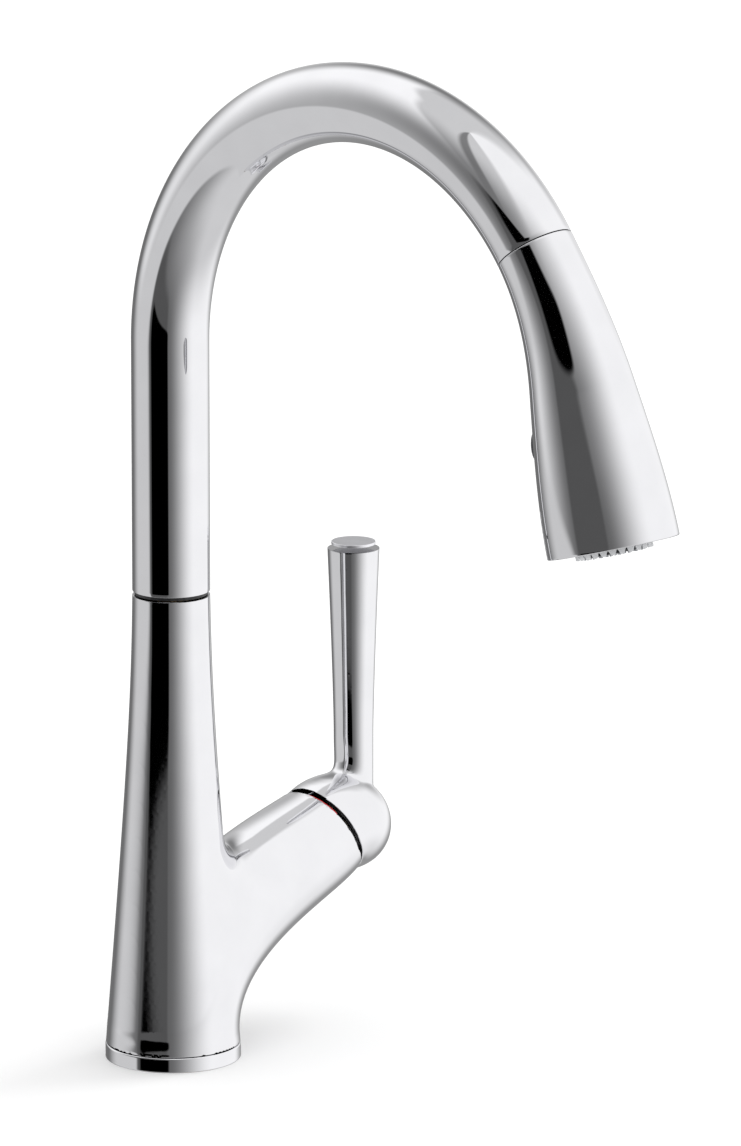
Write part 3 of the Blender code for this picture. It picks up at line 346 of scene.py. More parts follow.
def toneGroup():
    # one colour drifting into another in soft patches
    inputs = [
        ("First", "NodeSocketColor", (0.5, 0.5, 0.5, 1.0)),
        ("Second", "NodeSocketColor", (0.4, 0.4, 0.4, 1.0)),
        ("Scale", "NodeSocketFloat", 60.0),
    ]
    tree = treeOf("ShaderNodeTree", "toneDrift", inputs, [("Colour", "NodeSocketColor")])
    w = Wiring(tree)
    given = w.inputs()
    place = w.node("ShaderNodeTexCoord").outputs["Object"]
    patches = w.node("ShaderNodeTexNoise", {"Vector": place, "Scale": given["Scale"], "Detail": 4.0})
    share = w.node("ShaderNodeMapRange", {"Value": patches.outputs[0], "From Min": 0.3, "From Max": 0.7})
    mixed = w.node("ShaderNodeMix", {"Factor": share.outputs[0], 6: given["First"], 7: given["Second"]},
                   data_type="RGBA")
    w.node("NodeGroupOutput", {"Colour": mixed.outputs[2]})
    return tree


grain = grainGroup()
tone = toneGroup()

finishes = {
    "chrome": {"first": (0.80, 0.80, 0.82), "second": (0.77, 0.77, 0.79), "metallic": 1.0, "low": 0.015,
               "high": 0.035, "scale": 900.0, "bump": 0.01},
    "satin_chrome": {"first": (0.90, 0.90, 0.93), "second": (0.84, 0.84, 0.87), "metallic": 1.0, "low": 0.3,
                     "high": 0.42, "scale": 1500.0, "bump": 0.25},
    "steel": {"first": (0.56, 0.57, 0.58), "second": (0.45, 0.46, 0.47), "metallic": 1.0, "low": 0.22,
              "high": 0.38, "scale": 900.0, "bump": 0.2, "stretch": (1.0, 1.0, 8.0)},
    "brass": {"first": (0.72, 0.53, 0.26), "second": (0.58, 0.41, 0.19), "metallic": 1.0, "low": 0.2,
              "high": 0.36, "scale": 700.0, "bump": 0.15, "stretch": (1.0, 1.0, 6.0)},
    "magnet": {"first": (0.16, 0.16, 0.17), "second": (0.10, 0.10, 0.11), "metallic": 0.9, "low": 0.4,
               "high": 0.6, "scale": 1200.0, "bump": 0.3},
    "rubber": {"first": (0.018, 0.018, 0.018), "second": (0.03, 0.03, 0.03), "metallic": 0.0, "low": 0.6,
               "high": 0.8, "scale": 1500.0, "bump": 0.3},
    "nozzle_rubber": {"first": (0.35, 0.36, 0.38), "second": (0.28, 0.29, 0.31), "metallic": 0.0, "low": 0.5,
                      "high": 0.7, "scale": 1500.0, "bump": 0.2},
    "ceramic": {"first": (0.80, 0.78, 0.74), "second": (0.74, 0.72, 0.68), "metallic": 0.0, "low": 0.12,
                "high": 0.2, "scale": 1200.0, "bump": 0.05},
    "white_plastic": {"first": (0.74, 0.75, 0.76), "second": (0.66, 0.67, 0.69), "metallic": 0.0, "low": 0.3,
                      "high": 0.45, "scale": 1400.0, "bump": 0.15},
    "grey_plastic": {"first": (0.075, 0.076, 0.082), "second": (0.05, 0.05, 0.055), "metallic": 0.0,
                     "low": 0.35, "high": 0.5, "scale": 1600.0, "bump": 0.3},
    "black_plastic": {"first": (0.010, 0.010, 0.011), "second": (0.018, 0.018, 0.02), "metallic": 0.0,
                      "low": 0.3, "high": 0.45, "scale": 1500.0, "bump": 0.2},
    "hot_red": {"first": (0.62, 0.02, 0.03), "second": (0.52, 0.015, 0.02), "metallic": 0.0, "low": 0.2,
                "high": 0.3, "scale": 1200.0, "bump": 0.1},
    "cold_blue": {"first": (0.012, 0.02, 0.12), "second": (0.008, 0.014, 0.09), "metallic": 0.0, "low": 0.2,
                  "high": 0.3, "scale": 1200.0, "bump": 0.1},
}


def finishMaterial(name, look):
    made = bpy.data.materials.new(name)
    made.use_nodes = True
    w = Wiring(made.node_tree)
    shader = made.node_tree.nodes["Principled BSDF"]
    shader.inputs["Metallic"].default_value = look["metallic"]
    drift = w.node("ShaderNodeGroup", node_tree=tone)
    drift.inputs["First"].default_value = (*look["first"], 1.0)
    drift.inputs["Second"].default_value = (*look["second"], 1.0)
    surface = w.node("ShaderNodeGroup", node_tree=grain)
    surface.inputs["Scale"].default_value = look["scale"]
    surface.inputs["Stretch"].default_value = look.get("stretch", (1.0, 1.0, 1.0))
    surface.inputs["Low"].default_value = look["low"]
    surface.inputs["High"].default_value = look["high"]
    surface.inputs["Bump"].default_value = look["bump"]
    w.join(drift.outputs["Colour"], shader.inputs["Base Color"])
    w.join(surface.outputs["Roughness"], shader.inputs["Roughness"])
    w.join(surface.outputs["Normal"], shader.inputs["Normal"])
    return made


def braidMaterial():
    # crossing strands wound about the line that the hose is pulled along
    braid = {"strands": 16.0, "pitch": 90.0, "dark": (0.05, 0.052, 0.058), "light": (0.38, 0.39, 0.41)}
    made = bpy.data.materials.new("hose_braid")
    made.use_nodes = True
    w = Wiring(made.node_tree)
    shader = made.node_tree.nodes["Principled BSDF"]
    shader.inputs["Roughness"].default_value = 0.55
    place = w.node("ShaderNodeTexCoord").outputs["Object"]
    turn = Matrix.Rotation(asin(dockAxis.y), 3, "X").to_euler()
    offset = -(turn.to_matrix() @ dock)
    local = w.node("ShaderNodeMapping", {"Vector": place, "Location": offset, "Rotation": turn})
    spot = w.node("ShaderNodeSeparateXYZ", {0: local.outputs[0]}).outputs
    around = w.math("ARCTAN2", spot["Y"], spot["X"])
    wound = w.math("MULTIPLY", around, braid["strands"] / 2)
    lifted = w.math("MULTIPLY", spot["Z"], 2 * pi * braid["pitch"])
    one = w.math("SINE", w.math("ADD", wound, lifted))
    other = w.math("SINE", w.math("SUBTRACT", wound, lifted))
    height = w.math("MULTIPLY", w.math("ADD", w.math("ABSOLUTE", one), w.math("ABSOLUTE", other)), 0.5)
    mixed = w.node("ShaderNodeMix", {"Factor": height, 6: (*braid["dark"], 1.0), 7: (*braid["light"], 1.0)},
                   data_type="RGBA")
    bump = w.node("ShaderNodeBump", {"Strength": 0.6, "Distance": 0.0004, "Height": height})
    w.join(mixed.outputs[2], shader.inputs["Base Color"])
    w.join(bump.outputs[0], shader.inputs["Normal"])
    return made


materials = {name: finishMaterial(name, look) for name, look in finishes.items()}
materials["hose_braid"] = braidMaterial()
print("materials made:", len(materials))


def dress(piece, body, slot, *nodes):
    # finish, body and the CAD nodes that the piece stands for
    piece.data.materials.clear()
    piece.data.materials.append(materials[slot])
    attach(piece, body)
    if nodes:
        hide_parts(*nodes)
    return piece


for part in frame["record"]["subparts"]:
    node = frame["nodes"][part["node"]]
    node.data.materials.clear()
    node.data.materials.append(materials[part["material_slot"]])


# Base ring

baseLook = {"edge": 0.7 * mm, "footEdge": 0.35 * mm, "hole": 17.1 * mm, "recess": 1.7 * mm,
            "gasketGap": 0.3 * mm}


def makeBaseRing():
    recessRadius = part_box("base_gasket")[1].x + baseLook["gasketGap"]
    corners = [
        (baseLook["hole"], baseHeight, 0.2 * mm),
        (baseRadius, baseHeight, baseLook["edge"]),
        (baseRadius, 0.0, baseLook["footEdge"]),
        (recessRadius, 0.0, 0.1 * mm),
        (recessRadius, baseLook["recess"], 0.0),
        (baseLook["hole"], baseLook["recess"], 0.0),
    ]
    return turnedPiece("baseRing", roundedOutline(corners), sides=160)


dress(makeBaseRing(), "base", "chrome", "base_ring")
print("base ring made")


# Spout

bentTube = bentTubeTree()
spoutLook = {"seam": 0.25 * mm, "wall": 1.8 * mm, "edge": 0.14 * mm, "rings": 230, "sides": 128}
wandLook = {"bendRadius": 162 * mm, "turn": radians(20.2), "straight": 60.5 * mm, "mouth": 25.5 * mm,
            "wall": 1.8 * mm, "edge": 0.5 * mm, "rings": 120, "sides": 160, "halfSeam": 0.12 * mm}


def walled(piece, wall, edge):
    thick = piece.modifiers.new("Wall", "SOLIDIFY")
    thick.thickness = wall
    thick.offset = -1
    thick.use_even_offset = True
    rim = piece.modifiers.new("Rim", "BEVEL")
    rim.width = edge
    rim.segments = 4
    rim.limit_method = "ANGLE"
    rim.angle_limit = radians(50)
    return settled(piece)


def makeSpout():
    foot = seamHeight + spoutLook["seam"]
    piece = linked(bpy.data.meshes.new("spoutTube"), "spoutTube")
    grown(piece, bentTube, {
        "Straight Before": archHeight - foot,
        "Bend Radius": archRadius,
        "Bend Angle": archSweep - wandLook["halfSeam"] / archRadius,
        "Straight After": 0.0,
        "Start Radius": tubeRadius,
        "End Radius": tubeRadius,
        "Rings": spoutLook["rings"],
        "Sides": spoutLook["sides"],
        "Material": materials["chrome"],
    })
    piece.data.transform(Matrix.Translation((0, 0, foot)))
    walled(piece, spoutLook["wall"], spoutLook["edge"])
    return smoothed(piece, sharpAngle)


dress(makeSpout(), "spout", "chrome", "spout_tube")
print("spout made")


# Spray wand

wandLength = wandLook["bendRadius"] * wandLook["turn"] + wandLook["straight"]
buttonLook = {"width": 24 * mm, "height": 16 * mm, "place": 43 * mm, "rise": 1.5 * mm, "gap": 0.4 * mm,
              "sink": 1.8 * mm, "edge": 0.45 * mm, "dip": 0.35 * mm, "round": 0.06, "points": 72}


def wandPlace(along):
    # the centre line's point this far from the dock, and the direction that runs on from there
    bend = min(along / wandLook["bendRadius"], wandLook["turn"])
    angle = archSweep + bend
    last = along - bend * wandLook["bendRadius"]
    centre = dock + Vector((0, cos(archSweep), sin(archSweep))) * -wandLook["bendRadius"]
    outward = Vector((0, cos(angle), sin(angle)))
    onward = Vector((0, -sin(angle), cos(angle)))
    return centre + outward * wandLook["bendRadius"] + onward * last, onward, outward


def wandRadius(along):
    share = min(max(along / wandLength, 0.0), 1.0)
    return tubeRadius + (wandLook["mouth"] - tubeRadius) * share * share * (3 - 2 * share)


def wandFrame(along):
    # Z runs back up the wand, and Y faces the column
    place, onward, outward = wandPlace(along)
    return Matrix.Translation(place) @ Matrix((
        (1, 0, 0, 0),
        (0, -outward.y, -onward.y, 0),
        (0, -outward.z, -onward.z, 0),
        (0, 0, 0, 1),
    ))


def onWand(along, angle, radius):
    # a point about the wand's centre line, where angle zero faces the column
    place, _, outward = wandPlace(along)
    return place - outward * (radius * cos(angle)) + Vector((radius * sin(angle), 0, 0))


def ovalRing(share, rise, grow=0.0):
    # a ring of points at this share of the button's outline, laid on the wand and raised by rise
    middle = wandLength - buttonLook["place"]
    points = []
    for k in range(buttonLook["points"]):
        a = 2 * pi * k / buttonLook["points"]
        across = (buttonLook["width"] / 2 + grow) * share * cos(a)
        along = middle + (buttonLook["height"] / 2 + grow) * share * sin(a)
        radius = wandRadius(along)
        points.append(onWand(along, asin(across / radius), radius + rise))
    return points


def makeWand():
    piece = linked(bpy.data.meshes.new("wandShell"), "wandShell")
    half = wandLook["halfSeam"]
    grown(piece, bentTube, {
        "Straight Before": 0.0,
        "Bend Radius": wandLook["bendRadius"],
        "Bend Angle": wandLook["turn"] - half / wandLook["bendRadius"],
        "Straight After": wandLook["straight"],
        "Start Radius": tubeRadius,
        "End Radius": wandLook["mouth"],
        "Rings": wandLook["rings"],
        "Sides": wandLook["sides"],
        "Material": materials["chrome"],
    })
    turn = Matrix.Rotation(archSweep + half / wandLook["bendRadius"], 4, "X")
    piece.data.transform(Matrix.Translation(wandPlace(half)[0]) @ turn)
    walled(piece, wandLook["wall"], wandLook["edge"])
    rings = [ovalRing(1.0, rise, buttonLook["gap"]) for rise in (-6 * mm, 4 * mm)]
    cutter = linked(meshFrom(capped(ringsShape(rings)), "buttonHole"), "buttonHole")
    return smoothed(cutWith(piece, cutter), sharpAngle)


def makeButton():
    top = buttonLook["rise"]
    edge = buttonLook["edge"]
    rings = []
    for share in (0.0001, 0.15, 0.3, 0.45, 0.6, 0.7, 0.8, 0.88):
        rings.append(ovalRing(share, top - buttonLook["dip"] * (1 - share * share) ** 2))
    for k in range(1, 7):
        a = pi / 2 * k / 6
        rings.append(ovalRing(1 - buttonLook["round"] * (1 - sin(a)), top - edge * (1 - cos(a))))
    rings.append(ovalRing(1.0, -buttonLook["sink"]))
    rings.append(ovalRing(0.5, -buttonLook["sink"]))
    rings.append(ovalRing(0.0001, -buttonLook["sink"]))
    return smoothed(linked(meshFrom(capped(ringsShape(rings)), "sprayButton"), "sprayButton"))


dress(makeWand(), "wand", "chrome", "wand_shell")
dress(makeButton(), "spray_button", "grey_plastic", "spray_button")
print("wand and button made")


# Spray face

outlet = wandFrame(wandLength)
faceLook = {"radius": 15 * mm, "drop": 2.3 * mm, "teeth": 26, "toothDepth": 0.9 * mm, "toothTop": 3.3 * mm,
            "toothFoot": 1.75 * mm, "hole": 6.8 * mm, "recess": 0.5 * mm, "nozzleRings": 3, "nozzles": 20,
            "nozzleRadius": 0.65 * mm, "nozzleHeight": 0.9 * mm, "nozzleStart": 8.2 * mm,
            "nozzleSpacing": 1.7 * mm, "nozzleRise": 0.05 * mm, "lip": 0.35 * mm, "collar": 3 * mm,
            "back": 6 * mm}
ringOfCopies = ringOfCopiesTree()


def makeTooth():
    # a wedge, wide where it leaves the face and narrow at its foot, reaching in along -X from its outer side
    depth = faceLook["toothDepth"]
    rings = []
    for height, width, shrink in (
        (0.4 * mm, faceLook["toothTop"], 0.0),
        (-0.3 * mm, faceLook["toothTop"], 0.0),
        (-faceLook["drop"] + 0.25 * mm, faceLook["toothFoot"], 0.0),
        (-faceLook["drop"], faceLook["toothFoot"] - 0.2 * mm, 0.1 * mm),
    ):
        outer = []
        for k in range(5):
            y = width * (k / 4 - 0.5)
            outer.append(Vector((sqrt((faceLook["radius"] - shrink) ** 2 - y * y), y, height)))
        back = faceLook["radius"] - depth + shrink
        inner = [Vector((back, y, height)) for y in (width * 0.42, -width * 0.42)]
        rings.append([Vector((p.x - faceLook["radius"], p.y, p.z)) for p in outer + inner])
    return linked(meshFrom(capped(ringsShape(rings)), "tooth"), "tooth")


def makeTeeth():
    tooth = makeTooth()
    piece = linked(bpy.data.meshes.new("faceTeeth"), "faceTeeth")
    grown(piece, ringOfCopies, {"Copy": tooth, "Count": faceLook["teeth"], "Rings": 1,
                                "First Radius": faceLook["radius"], "Ring Spacing": 0.0,
                                "Material": materials["white_plastic"]})
    bpy.data.objects.remove(tooth, do_unlink=True)
    piece.data.transform(outlet)
    return smoothed(piece, 30)


def makeFaceDisc():
    inner = faceLook["radius"] - faceLook["toothDepth"]
    low = -faceLook["drop"] + faceLook["recess"]
    corners = [
        (faceLook["hole"], low, 0.25 * mm),
        (faceLook["hole"], faceLook["back"], 0.0),
        (inner + 0.1 * mm, faceLook["back"], 0.0),
        (inner + 0.1 * mm, faceLook["collar"], 0.0),
        (faceLook["radius"], faceLook["collar"], 0.0),
        (faceLook["radius"], faceLook["lip"], 0.1 * mm),
        (inner, faceLook["lip"], 0.0),
        (inner, low, 0.3 * mm),
    ]
    return turnedPiece("faceDisc", roundedOutline(corners, 4, 0.08 * mm), outlet)


def makeNozzles():
    radius = faceLook["nozzleRadius"]
    corners = [(0, faceLook["nozzleHeight"]), (radius * 0.55, faceLook["nozzleHeight"]),
               (radius * 0.75, faceLook["nozzleHeight"] * 0.85), (radius, 0), (0, 0)]
    nozzle = turnedPiece("nozzle", corners, Matrix.Rotation(pi, 4, "X"), 12)
    piece = linked(bpy.data.meshes.new("sprayNozzles"), "sprayNozzles")
    grown(piece, ringOfCopies, {"Copy": nozzle, "Count": faceLook["nozzles"],
                                "Rings": faceLook["nozzleRings"],
                                "First Radius": faceLook["nozzleStart"],
                                "Ring Spacing": faceLook["nozzleSpacing"],
                                "Material": materials["nozzle_rubber"]})
    bpy.data.objects.remove(nozzle, do_unlink=True)
    low = -faceLook["drop"] + faceLook["recess"] + faceLook["nozzleRise"]
    piece.data.transform(outlet @ Matrix.Translation((0, 0, low)))
    return smoothed(piece, 30)


dress(makeFaceDisc(), "wand", "black_plastic", "spray_face")
dress(makeTeeth(), "wand", "white_plastic")
dress(makeNozzles(), "wand", "nozzle_rubber")
print("spray face made")


# Smooth shapes for the body and the handle: an even skin is slid onto a measured solid


def bezierLine(ends, count):
    t = np.linspace(0, 1, count + 1)[:, None]
    a, b, c, d = (np.array(end, float)[None, :] for end in ends)
    return (1 - t) ** 3 * a + 3 * t * (1 - t) ** 2 * b + 3 * t * t * (1 - t) * c + t**3 * d


def alongLine(line, radii):
    # distance to a round bar whose radius changes along the line, and its direction
    starts, runs = line[:-1], line[1:] - line[:-1]
    lengths = (runs**2).sum(1)

    def measure(points):
        distances = np.empty(len(points))
        directions = np.empty((len(points), 3))
        for first in range(0, len(points), 4000):
            some = points[first:first + 4000]
            relative = some[:, None, :] - starts[None]
            share = np.clip((relative * runs[None]).sum(2) / lengths[None], 0, 1)
            away = relative - share[..., None] * runs[None]
            reach = np.sqrt((away**2).sum(2))
            radius = radii[None, :-1] + share * (radii[1:] - radii[:-1])[None]
            best = np.argmin(reach - radius, axis=1)
            rows = np.arange(len(some))
            distances[first:first + 4000] = (reach - radius)[rows, best]
            directions[first:first + 4000] = away[rows, best] / reach[rows, best][:, None]
        return distances, directions

    return measure


def aboutColumn(heights, radii):
    # distance to a shape turned about Z, and its direction
    slopes = np.gradient(radii, heights)

    def measure(points):
        reach = np.hypot(points[:, 0], points[:, 1])
        radius = np.interp(points[:, 2], heights, radii)
        slope = np.interp(points[:, 2], heights, slopes)
        steep = np.sqrt(1 + slope**2)
        directions = np.stack([points[:, 0] / reach, points[:, 1] / reach, -slope], 1) / steep[:, None]
        return (reach - radius) / steep, directions

    return measure


def joined(first, second, fillet, spread):
    # both shapes as one, with a fillet that fades out where their sides run the same way
    def measure(points):
        a, alongA = first(points)
        b, alongB = second(points)
        turn = np.clip((1 - (alongA * alongB).sum(1)) / spread, 0, 1)
        size = fillet * turn * turn * (3 - 2 * turn) + 1e-6
        share = np.clip(0.5 + 0.5 * (b - a) / size, 0, 1)
        distance = b * (1 - share) + a * share - size * share * (1 - share)
        direction = alongA * share[:, None] + alongB * (1 - share)[:, None]
        return distance, direction

    return measure


def barShape(line, radii, sides=40):
    # a plain closed skin along a line, as a start for the finer one
    rings = []
    tangents = np.gradient(line, axis=0)
    for place, tangent, radius in zip(line, tangents, radii):
        onward = Vector(tangent).normalized()
        side = Vector((0, 1, 0))
        other = onward.cross(side).normalized()
        turns = [2 * pi * k / sides for k in range(sides)]
        rings.append([Vector(place) + side * (radius * cos(a)) + other * (radius * sin(a)) for a in turns])
    return capped(ringsShape(rings))


def relaxed(mesh, measure, rims, rounds=3):
    # slides every vertex onto the measured surface and evens out the spacing
    count = len(mesh.vertices)
    points = np.empty(count * 3)
    mesh.vertices.foreach_get("co", points)
    points = points.reshape(-1, 3)
    ends = np.empty(len(mesh.edges) * 2, np.int64)
    mesh.edges.foreach_get("vertices", ends)
    ends = ends.reshape(-1, 2)
    held = np.zeros(count, bool)
    for centre, axis, _ in rims:
        held |= np.abs((points - np.array(centre)) @ np.array(axis)) < 1e-6
    near = np.bincount(ends.ravel(), minlength=count).astype(float)[:, None]
    for _ in range(rounds):
        total = np.zeros((count, 3))
        for k in range(3):
            total[:, k] = np.bincount(ends[:, 0], points[ends[:, 1], k], count)
            total[:, k] += np.bincount(ends[:, 1], points[ends[:, 0], k], count)
        points[~held] = (0.5 * points + 0.5 * total / near)[~held]
        for _ in range(2):
            distance, direction = measure(points)
            step = direction * (distance / (direction**2).sum(1))[:, None]
            points[~held] -= step[~held]
    for centre, axis, radius in rims:
        centre, axis = np.array(centre), np.array(axis)
        relative = points - centre
        height = relative @ axis
        flat = relative - height[:, None] * axis
        on = held & (np.abs(height) < 1e-6)
        points[on] = centre + flat[on] / np.linalg.norm(flat[on], axis=1)[:, None] * radius
    mesh.vertices.foreach_set("co", points.ravel())
    mesh.update()


mergeReach = 0.12 * mm  # points of a cut skin that lie nearer than this become one


def softened(mesh, centre, reach, rounds=40):
    # evens out what lies near a point, fading to nothing at this reach from it
    shape = bmesh.new()
    shape.from_mesh(mesh)
    weights = {}
    for vertex in shape.verts:
        near = 1 - (vertex.co - Vector(centre)).length / reach
        if near > 0:
            weights[vertex] = min(near * 2, 1.0) ** 2 * 0.5
    for _ in range(rounds):
        moved = {}
        for vertex, weight in weights.items():
            others = [edge.other_vert(vertex).co for edge in vertex.link_edges]
            moved[vertex] = vertex.co.lerp(sum(others, Vector()) / len(others), weight)
        for vertex, place in moved.items():
            vertex.co = place
    shape.to_mesh(mesh)
    shape.free()


def fineSkin(name, shapes, measure, rims, voxel, soft=None):
    # the shapes run together as one even skin, cut square at each rim: (centre, axis, radius)
    whole = bpy.data.meshes.new(name)
    gathered = bmesh.new()
    for shape in shapes:
        part = meshFrom(shape, "part")
        gathered.from_mesh(part)
        bpy.data.meshes.remove(part)
    gathered.to_mesh(whole)
    gathered.free()
    piece = linked(whole, name)
    step = piece.modifiers.new("Even", "REMESH")
    step.mode = "VOXEL"
    step.voxel_size = voxel
    settled(piece)
    shape = bmesh.new()
    shape.from_mesh(piece.data)
    for centre, axis, _ in rims:
        everything = shape.verts[:] + shape.edges[:] + shape.faces[:]
        bmesh.ops.bisect_plane(shape, geom=everything, dist=1e-7, plane_co=centre, plane_no=axis,
                               clear_outer=True)
    bmesh.ops.remove_doubles(shape, verts=shape.verts, dist=mergeReach)
    shape.to_mesh(piece.data)
    shape.free()
    relaxed(piece.data, measure, rims)
    if soft:
        softened(piece.data, *soft)
    return piece


def withLips(piece, rims, lips, bridge=()):
    # each rim turns over and runs inwards along its lip's (radius, height) points; two may meet inside
    shape = bmesh.new()
    shape.from_mesh(piece.data)
    lastEdges = {}
    for number, ((centre, axis, _), lip) in enumerate(zip(rims, lips)):
        edges = [edge for edge in shape.edges if edge.is_boundary
                 and all(abs((v.co - Vector(centre)).dot(axis)) < 1e-5 for v in edge.verts)]
        for radius, height in lip:
            made = bmesh.ops.extrude_edge_only(shape, edges=edges)["geom"]
            for vertex in (item for item in made if isinstance(item, bmesh.types.BMVert)):
                relative = vertex.co - Vector(centre)
                flat = (relative - axis * relative.dot(axis)).normalized()
                vertex.co = Vector(centre) + axis * height + flat * radius
            edges = [item for item in made if isinstance(item, bmesh.types.BMEdge)]
        lastEdges[number] = edges
    if bridge:
        bmesh.ops.bridge_loops(shape, edges=lastEdges[bridge[0]] + lastEdges[bridge[1]])
    for number, edges in lastEdges.items():
        if number not in bridge:
            bmesh.ops.holes_fill(shape, edges=edges, sides=0)
    bmesh.ops.recalc_face_normals(shape, faces=shape.faces)
    shape.to_mesh(piece.data)
    shape.free()
    return smoothed(piece, sharpAngle)


def lipPoints(radius, edge, wall, hold=0.15 * mm):
    # a rounded edge, then a flat rim of this width; heights are counted from the rounding's start
    made = []
    for k in range(1, 6):
        a = pi / 2 * k / 5
        made.append((radius - edge * (1 - cos(a)), edge * sin(a)))
    made.append((radius - edge - hold, edge))
    made.append((radius - wall, edge))
    return made


# Body

bodyLook = {
    "waist": ((15.9 * mm, 150 * mm), (17.6 * mm, 120 * mm)),
    "foot": 26.8 * mm,
    "armRoot": 26.55 * mm,
    "armLift": 47 * mm,
    "armReach": 17 * mm,
    "mouth": 20.6 * mm,
    "pivotDepth": 25 * mm,
    "fillet": 20 * mm,
    "spread": 0.7,
    "edge": 0.14 * mm,
    "footEdge": 0.15 * mm,
    "voxel": 1.0 * mm,
    "socket": 12.6 * mm,
    "socketDepth": 38 * mm,
    "topRim": 0.5 * mm,
    "topStep": 1.4 * mm,
    "bore": 16.8 * mm,
    "boreDepth": 12 * mm,
    "mouthRim": 1.5 * mm,
    "armStart": 2.4 * mm,
    "armPast": 6 * mm,
    # the pocket's steps inside the mouth: radius, then depth
    "pocket": ((19.1, 1.5), (17.0, 1.5), (17.0, 15.5), (14.9, 15.5), (14.9, 42.0)),
}
mouthCentre = leverPivot + armAxis * bodyLook["pivotDepth"]


def makeBody():
    look = bodyLook
    ends = ((tubeRadius, seamHeight), *look["waist"], (look["foot"], bodyFoot))
    outline = bezierLine(ends, 200)[::-1]
    # runs on beyond both ends at the slope it has there
    past = outline[0] + (outline[0] - outline[4]) * 3
    beyond = outline[-1] + (outline[-1] - outline[-5]) * 3
    radii, heights = np.concatenate([[past], outline, [beyond]]).T
    start = Vector((0, 0, baseHeight + look["armStart"]))
    arm = bezierLine((start, start + up * look["armLift"], mouthCentre - armAxis * look["armReach"],
                      mouthCentre), 160)
    armRadii = np.linspace(look["armRoot"], look["mouth"], 161)
    onward = np.array(mouthCentre + armAxis * look["armPast"])[None]
    arm = np.concatenate([arm, onward])
    armRadii = np.append(armRadii, look["mouth"])
    measure = joined(aboutColumn(heights, radii), alongLine(arm, armRadii), look["fillet"], look["spread"])

    turns = [2 * pi * k / 48 for k in range(48)]
    picks = range(0, len(heights), 6)
    rings = [[Vector((radii[i] * cos(a), radii[i] * sin(a), heights[i])) for a in turns] for i in picks]
    shapes = [capped(ringsShape(rings)), barShape(arm[::8], armRadii[::8])]
    edge, footEdge = look["edge"], look["footEdge"]
    rims = [
        (Vector((0, 0, seamHeight - edge)), up, tubeRadius),
        (Vector((0, 0, bodyFoot + footEdge)), -up, look["foot"]),
        (mouthCentre - armAxis * edge, armAxis, look["mouth"]),
    ]
    piece = fineSkin("faucetBody", shapes, measure, rims, look["voxel"])
    topStep = edge - look["topStep"]
    topLip = lipPoints(tubeRadius, edge, look["topRim"])
    topLip += [(tubeRadius - look["topRim"], topStep), (look["socket"], topStep),
               (look["socket"], edge - look["socketDepth"])]
    footLip = lipPoints(look["foot"], footEdge, look["foot"] - look["bore"])
    footLip += [(look["bore"], footEdge - look["boreDepth"])]
    mouthLip = lipPoints(look["mouth"], edge, look["mouthRim"])
    mouthLip += [(radius * mm, edge - depth * mm) for radius, depth in look["pocket"]]
    return withLips(piece, rims, [topLip, footLip, mouthLip], (0, 1))


dress(makeBody(), "base", "chrome", "faucet_body")
print("body made")


# Handle

handleLook = {
    "gap": 2.3 * mm,
    "hub": 20.4 * mm,
    "reach": 18.6 * mm,
    "lift": 32.7 * mm,
    "x": 103.6 * mm,
    "waistHeight": 93.5 * mm,
    "waist": 8.0 * mm,
    "flareFrom": 115 * mm,
    "flareCurve": 1.3,
    "taperCurve": 1.44,
    "top": 10.6 * mm,
    "elbow": (93 * mm, 0, 97 * mm),
    "elbowReach": 19 * mm,
    "edge": 0.35 * mm,
    "topEdge": 0.75 * mm,
    "cap": 9.2 * mm,
    "capDepth": 1.5 * mm,
    "lip": 2.1 * mm,
    "socket": 6.3 * mm,
    "socketEnd": 22.3 * mm,
    "voxel": 0.9 * mm,
}


